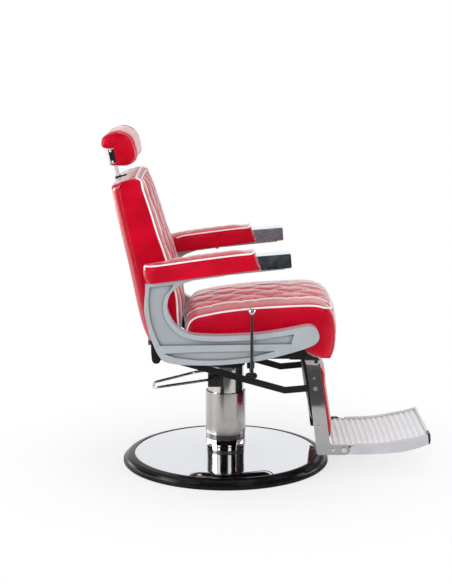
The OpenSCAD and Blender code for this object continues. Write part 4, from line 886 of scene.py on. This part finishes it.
for side, label in SIDES:
    outline = arm_outline()
    arm = Pad(outline, [outline[0], outline[-1]], 42.5, mid=side * 287, step=4.0, edge=11, side_rows=12)
    along = smooth_step(np.minimum(arm.S - 45, arm.length - 75 - arm.S) / 50)
    arm.lift(7.0 * (1 - (arm.Y / arm.half) ** 2) * along)
    # The rear end drops towards the chair's middle
    rear = 1 - smooth_step((arm.sheet[..., 0] + 250) / 120)
    above = smooth_step((arm.sheet[..., 2] - 690) / 14)
    arm.lift(-17.0 * rear * above * smooth_step((arm.half - arm.Y * side - 4) / (2 * arm.half)))
    arm.narrow(lambda x, z: 9.0 * smooth_step((-205 - x) / 45))
    upholster("arm_upholstery_" + label, "carriage", arm, "arm_pad_" + label, cap=2.5, bulge=1.5,
              free_sheet=free_middle(arm, 12, 30, 30))
    # The piping runs along the outside from the rear, round the front and part of the way back inside
    end_s = arm.length - 60
    half = arm.half - 3.4
    loop = rounded_loop(end_s - 400, end_s, -half, half, 11)
    outside = sorted([p for p in loop if p[1] > 0 and p[0] > 56], key=lambda p: p[0])
    inside = sorted([p for p in loop if p[1] <= 0 and p[0] > 150], key=lambda p: -p[0])
    line = [arm.surface(u, side * w, 1.0) for u, w in outside + inside]
    tube("arm_piping_" + label, line, 2.5, white_piping, "carriage")
    # Bead down the arm's slanted front, in pale pink leather as a painted highlight
    edge = [arm.surface(u, side * (arm.half - 3.0), 0.3) for u in np.linspace(end_s + 1, arm.length - 4, 24)]
    tube("arm_front_seam_" + label, edge, 1.2, painted_highlight_bead, "carriage")

# Calf pad

CALF_REAR = [(245, 358), (257, 293), (269, 211), (281, 164)]
CALF_FRONT = [(292, 352), (312, 338), (317, 290), (325, 238), (332, 189), (337, 150), (331, 118)]
# Thickness of the black panel behind the pad, with its clearance
CALF_PANEL = 10.3
calf_base = smooth_curve(CALF_REAR, 6)
calf_base = calf_base + CALF_PANEL * side_normals(calf_base)
calf = Pad([tuple(calf_base[0])] + CALF_FRONT + [tuple(calf_base[-1])], calf_base, 157.5, step=4.0, edge=10,
           side_rows=10)
from_ends = np.minimum(calf.S - 30, calf.length - 30 - calf.S)
calf.lift(5.0 * (1 - (calf.Y / calf.half) ** 2) * smooth_step(from_ends / 40))
upholster("calf_upholstery", "footrest", calf, "calf_pad", cap=3.0, bulge=0.0,
          free_sheet=free_middle(calf, 20, 30, 30))


# ---------- studio and camera, in metres ----------

def plane(name, centre, size, rotation=(0, 0, 0)):
    bpy.ops.mesh.primitive_plane_add(size=1, location=centre, rotation=rotation)
    made = bpy.context.object
    made.name = name
    made.scale = (size[0], size[1], 1)
    return made


def floor_material():
    """Pale floor that keeps the shadow near the chair and runs out into the white background."""
    mat = bpy.data.materials.new("floor_paper")
    mat.use_nodes = True
    s = Nodes(mat.node_tree)
    paper = s.tree.nodes["Principled BSDF"]
    paper.inputs["Base Color"].default_value = (0.90, 0.90, 0.90, 1)
    paper.inputs["Roughness"].default_value = 0.7
    white = s.node("Emission", Color=(1, 1, 1, 1), Strength=1.0)
    place = s.node("TexCoord").outputs["Object"]
    distance = s.node("VectorMath", {"operation": "LENGTH"}, _0=place).outputs["Value"]
    fade = s.ramp(distance, 0.30, 1.0, 0.68, 1.0, kind="SMOOTHSTEP")
    # Mirror-like surfaces see the white only behind the chair
    behind = s.ramp(s.node("SeparateXYZ", Vector=place).outputs[1], -0.1, 0.5)
    ray = s.node("LightPath").outputs
    seen = s.math("MAXIMUM", ray["Is Camera Ray"], s.math("MULTIPLY", ray["Is Glossy Ray"], behind))
    blend = s.node("MixShader", _0=s.math("MULTIPLY", seen, fade), _1=paper.outputs[0], _2=white.outputs[0])
    s.put(s.tree.nodes["Material Output"].inputs[0], blend.outputs[0])
    return mat


FLOOR_SIZE = 60
floor = plane("floor", (0.1, 0, 0), (1, 1))
# Scaled in its mesh, so that the material's coordinates stay in metres
for v in floor.data.vertices:
    v.co *= FLOOR_SIZE
floor.data.materials.append(floor_material())


def card(name, centre, size, heading, level, colour=(1, 1, 1), mottle=None):
    """Glowing or dark sheet that only shows in reflections. It stands upright at a heading in degrees, or
    lies on the floor where that is None. mottle gives the scale and the level of its brighter patches."""
    mat = bpy.data.materials.new(name)
    mat.use_nodes = True
    s = Nodes(mat.node_tree)
    s.tree.nodes.clear()
    if mottle:
        place = s.node("TexCoord").outputs["Object"]
        noise = s.node("TexNoise", Vector=place, Scale=mottle[0], Detail=2.0).outputs[0]
        level = s.ramp(noise, 0.45, 0.72, level, mottle[1])
    glow = s.node("Emission", Color=(*colour, 1), Strength=level)
    s.node("OutputMaterial", _0=glow.outputs[0])
    rotation = (0, 0, 0) if heading is None else (math.radians(90), 0, math.radians(heading))
    made = plane(name, centre, size, rotation)
    made.data.materials.append(mat)
    made.visible_camera = made.visible_diffuse = made.visible_shadow = made.visible_transmission = False


# What mirror-like surfaces see: a dark floor with a brighter strip in front, two tall windows, and lit cards
# at both sides, some of them low and some high
card("room_floor", (0, -4.675, 0.003), (24, 5.35), None, 0.008, (0.86, 0.93, 1.0), (1.1, 0.14))
card("floor_strip", (0, -1.39, 0.003), (3.2, 0.78), None, 0.13)
card("tripod_dark", (-0.36, -0.90, 0.004), (0.42, 0.30), None, 0.04)
card("window_left", (-3.3, -3.5, 3.2), (1.3, 3.6), -43, 2.0)
card("window_right", (1.9, -4.4, 3.4), (1.4, 3.6), 24, 1.8)
card("left_light", (-3.2, -0.25, 0.34), (1.5, 0.66), 90, 4.0)
card("rim_card", (-2.5, 1.65, 0.36), (2.3, 0.68), 90, 4.0)
card("nose_card", (4.4, 1.3, 0.42), (2.0, 0.8), 90, 7.0)
card("left_light", (-3.7, -1.3, 1.6), (1.9, 2.6), -70, 9.0)
card("nose_card", (4.4, 1.3, 1.3), (2.0, 2.4), 90, 5.0)


def softbox(name, place, aim, size, power, glossy=True):
    light = bpy.data.lights.new(name, "AREA")
    light.shape = "RECTANGLE"
    light.size, light.size_y = size
    light.energy = power
    made = bpy.data.objects.new(name, light)
    bpy.context.scene.collection.objects.link(made)
    made.location = place
    made.rotation_mode = "QUATERNION"
    made.rotation_quaternion = (Vector(aim) - Vector(place)).to_track_quat("-Z", "Y")
    made.visible_glossy = glossy
    made.visible_camera = False


softbox("top_box", (0.1, 0.4, 3.4), (0, 0, 0.5), (2.6, 2.2), 26)
softbox("front_fill", (-0.6, -4.6, 2.0), (0, 0, 0.55), (2.8, 2.2), 105, glossy=False)
softbox("left_box", (-3.2, -2.0, 1.9), (0, 0, 0.6), (1.0, 1.8), 24, glossy=False)
softbox("right_box", (3.4, -1.2, 1.8), (0, 0, 0.5), (0.9, 1.8), 18, glossy=False)


def surroundings():
    """Plain light for diffuse surfaces, white for the camera, and for reflections a room that is white
    behind the chair, but dark in front of it and high up at the sides."""
    world = bpy.data.worlds.new("studio")
    bpy.context.scene.world = world
    world.use_nodes = True
    s = Nodes(world.node_tree)
    background = s.tree.nodes["Background"]
    background.inputs[0].default_value = (1, 1, 1, 1)
    ray = s.node("LightPath").outputs
    x, y, z = s.node("SeparateXYZ", Vector=s.node("TexCoord").outputs["Generated"]).outputs
    plain = s.ramp(ray["Is Diffuse Ray"], 0.0, 1.0, 0.0, 0.5)
    shown = s.math("MAXIMUM", ray["Is Camera Ray"], ray["Is Transmission Ray"])
    middle = s.ramp(s.math("MULTIPLY", x, x), 0.2, 0.4, 1.0, 0.03)
    low = s.ramp(z, 0.12, 0.28, 1.0, 0.0)
    room = s.math("MULTIPLY", s.ramp(y, -0.35, -0.08, 0.004, 1.0), s.math("MAXIMUM", middle, low))
    mirrored = s.math("MULTIPLY", ray["Is Glossy Ray"], room)
    s.put(background.inputs["Strength"], s.math("MAXIMUM", s.math("MAXIMUM", plain, shown), mirrored))


surroundings()

# Camera fitted to the base and column of the photograph, in its pixels
IMAGE_H = 584
FOCAL_PX, CENTRE_Y = 1436.6, 294.32
camera_data = bpy.data.cameras.new("camera")
camera_data.sensor_width = 36
camera_data.lens = FOCAL_PX / IMAGE_H * camera_data.sensor_width
camera_data.shift_y = (CENTRE_Y - IMAGE_H / 2) / IMAGE_H
camera_data.clip_end = 100
camera = bpy.data.objects.new("camera", camera_data)
camera.location = (-0.0217, -4.6155, 1.4214)
camera.rotation_euler = (math.pi / 2 - 0.1849, 0, -0.0049)
bpy.context.scene.collection.objects.link(camera)
bpy.context.scene.camera = camera
bpy.context.scene.view_settings.view_transform = "Standard"
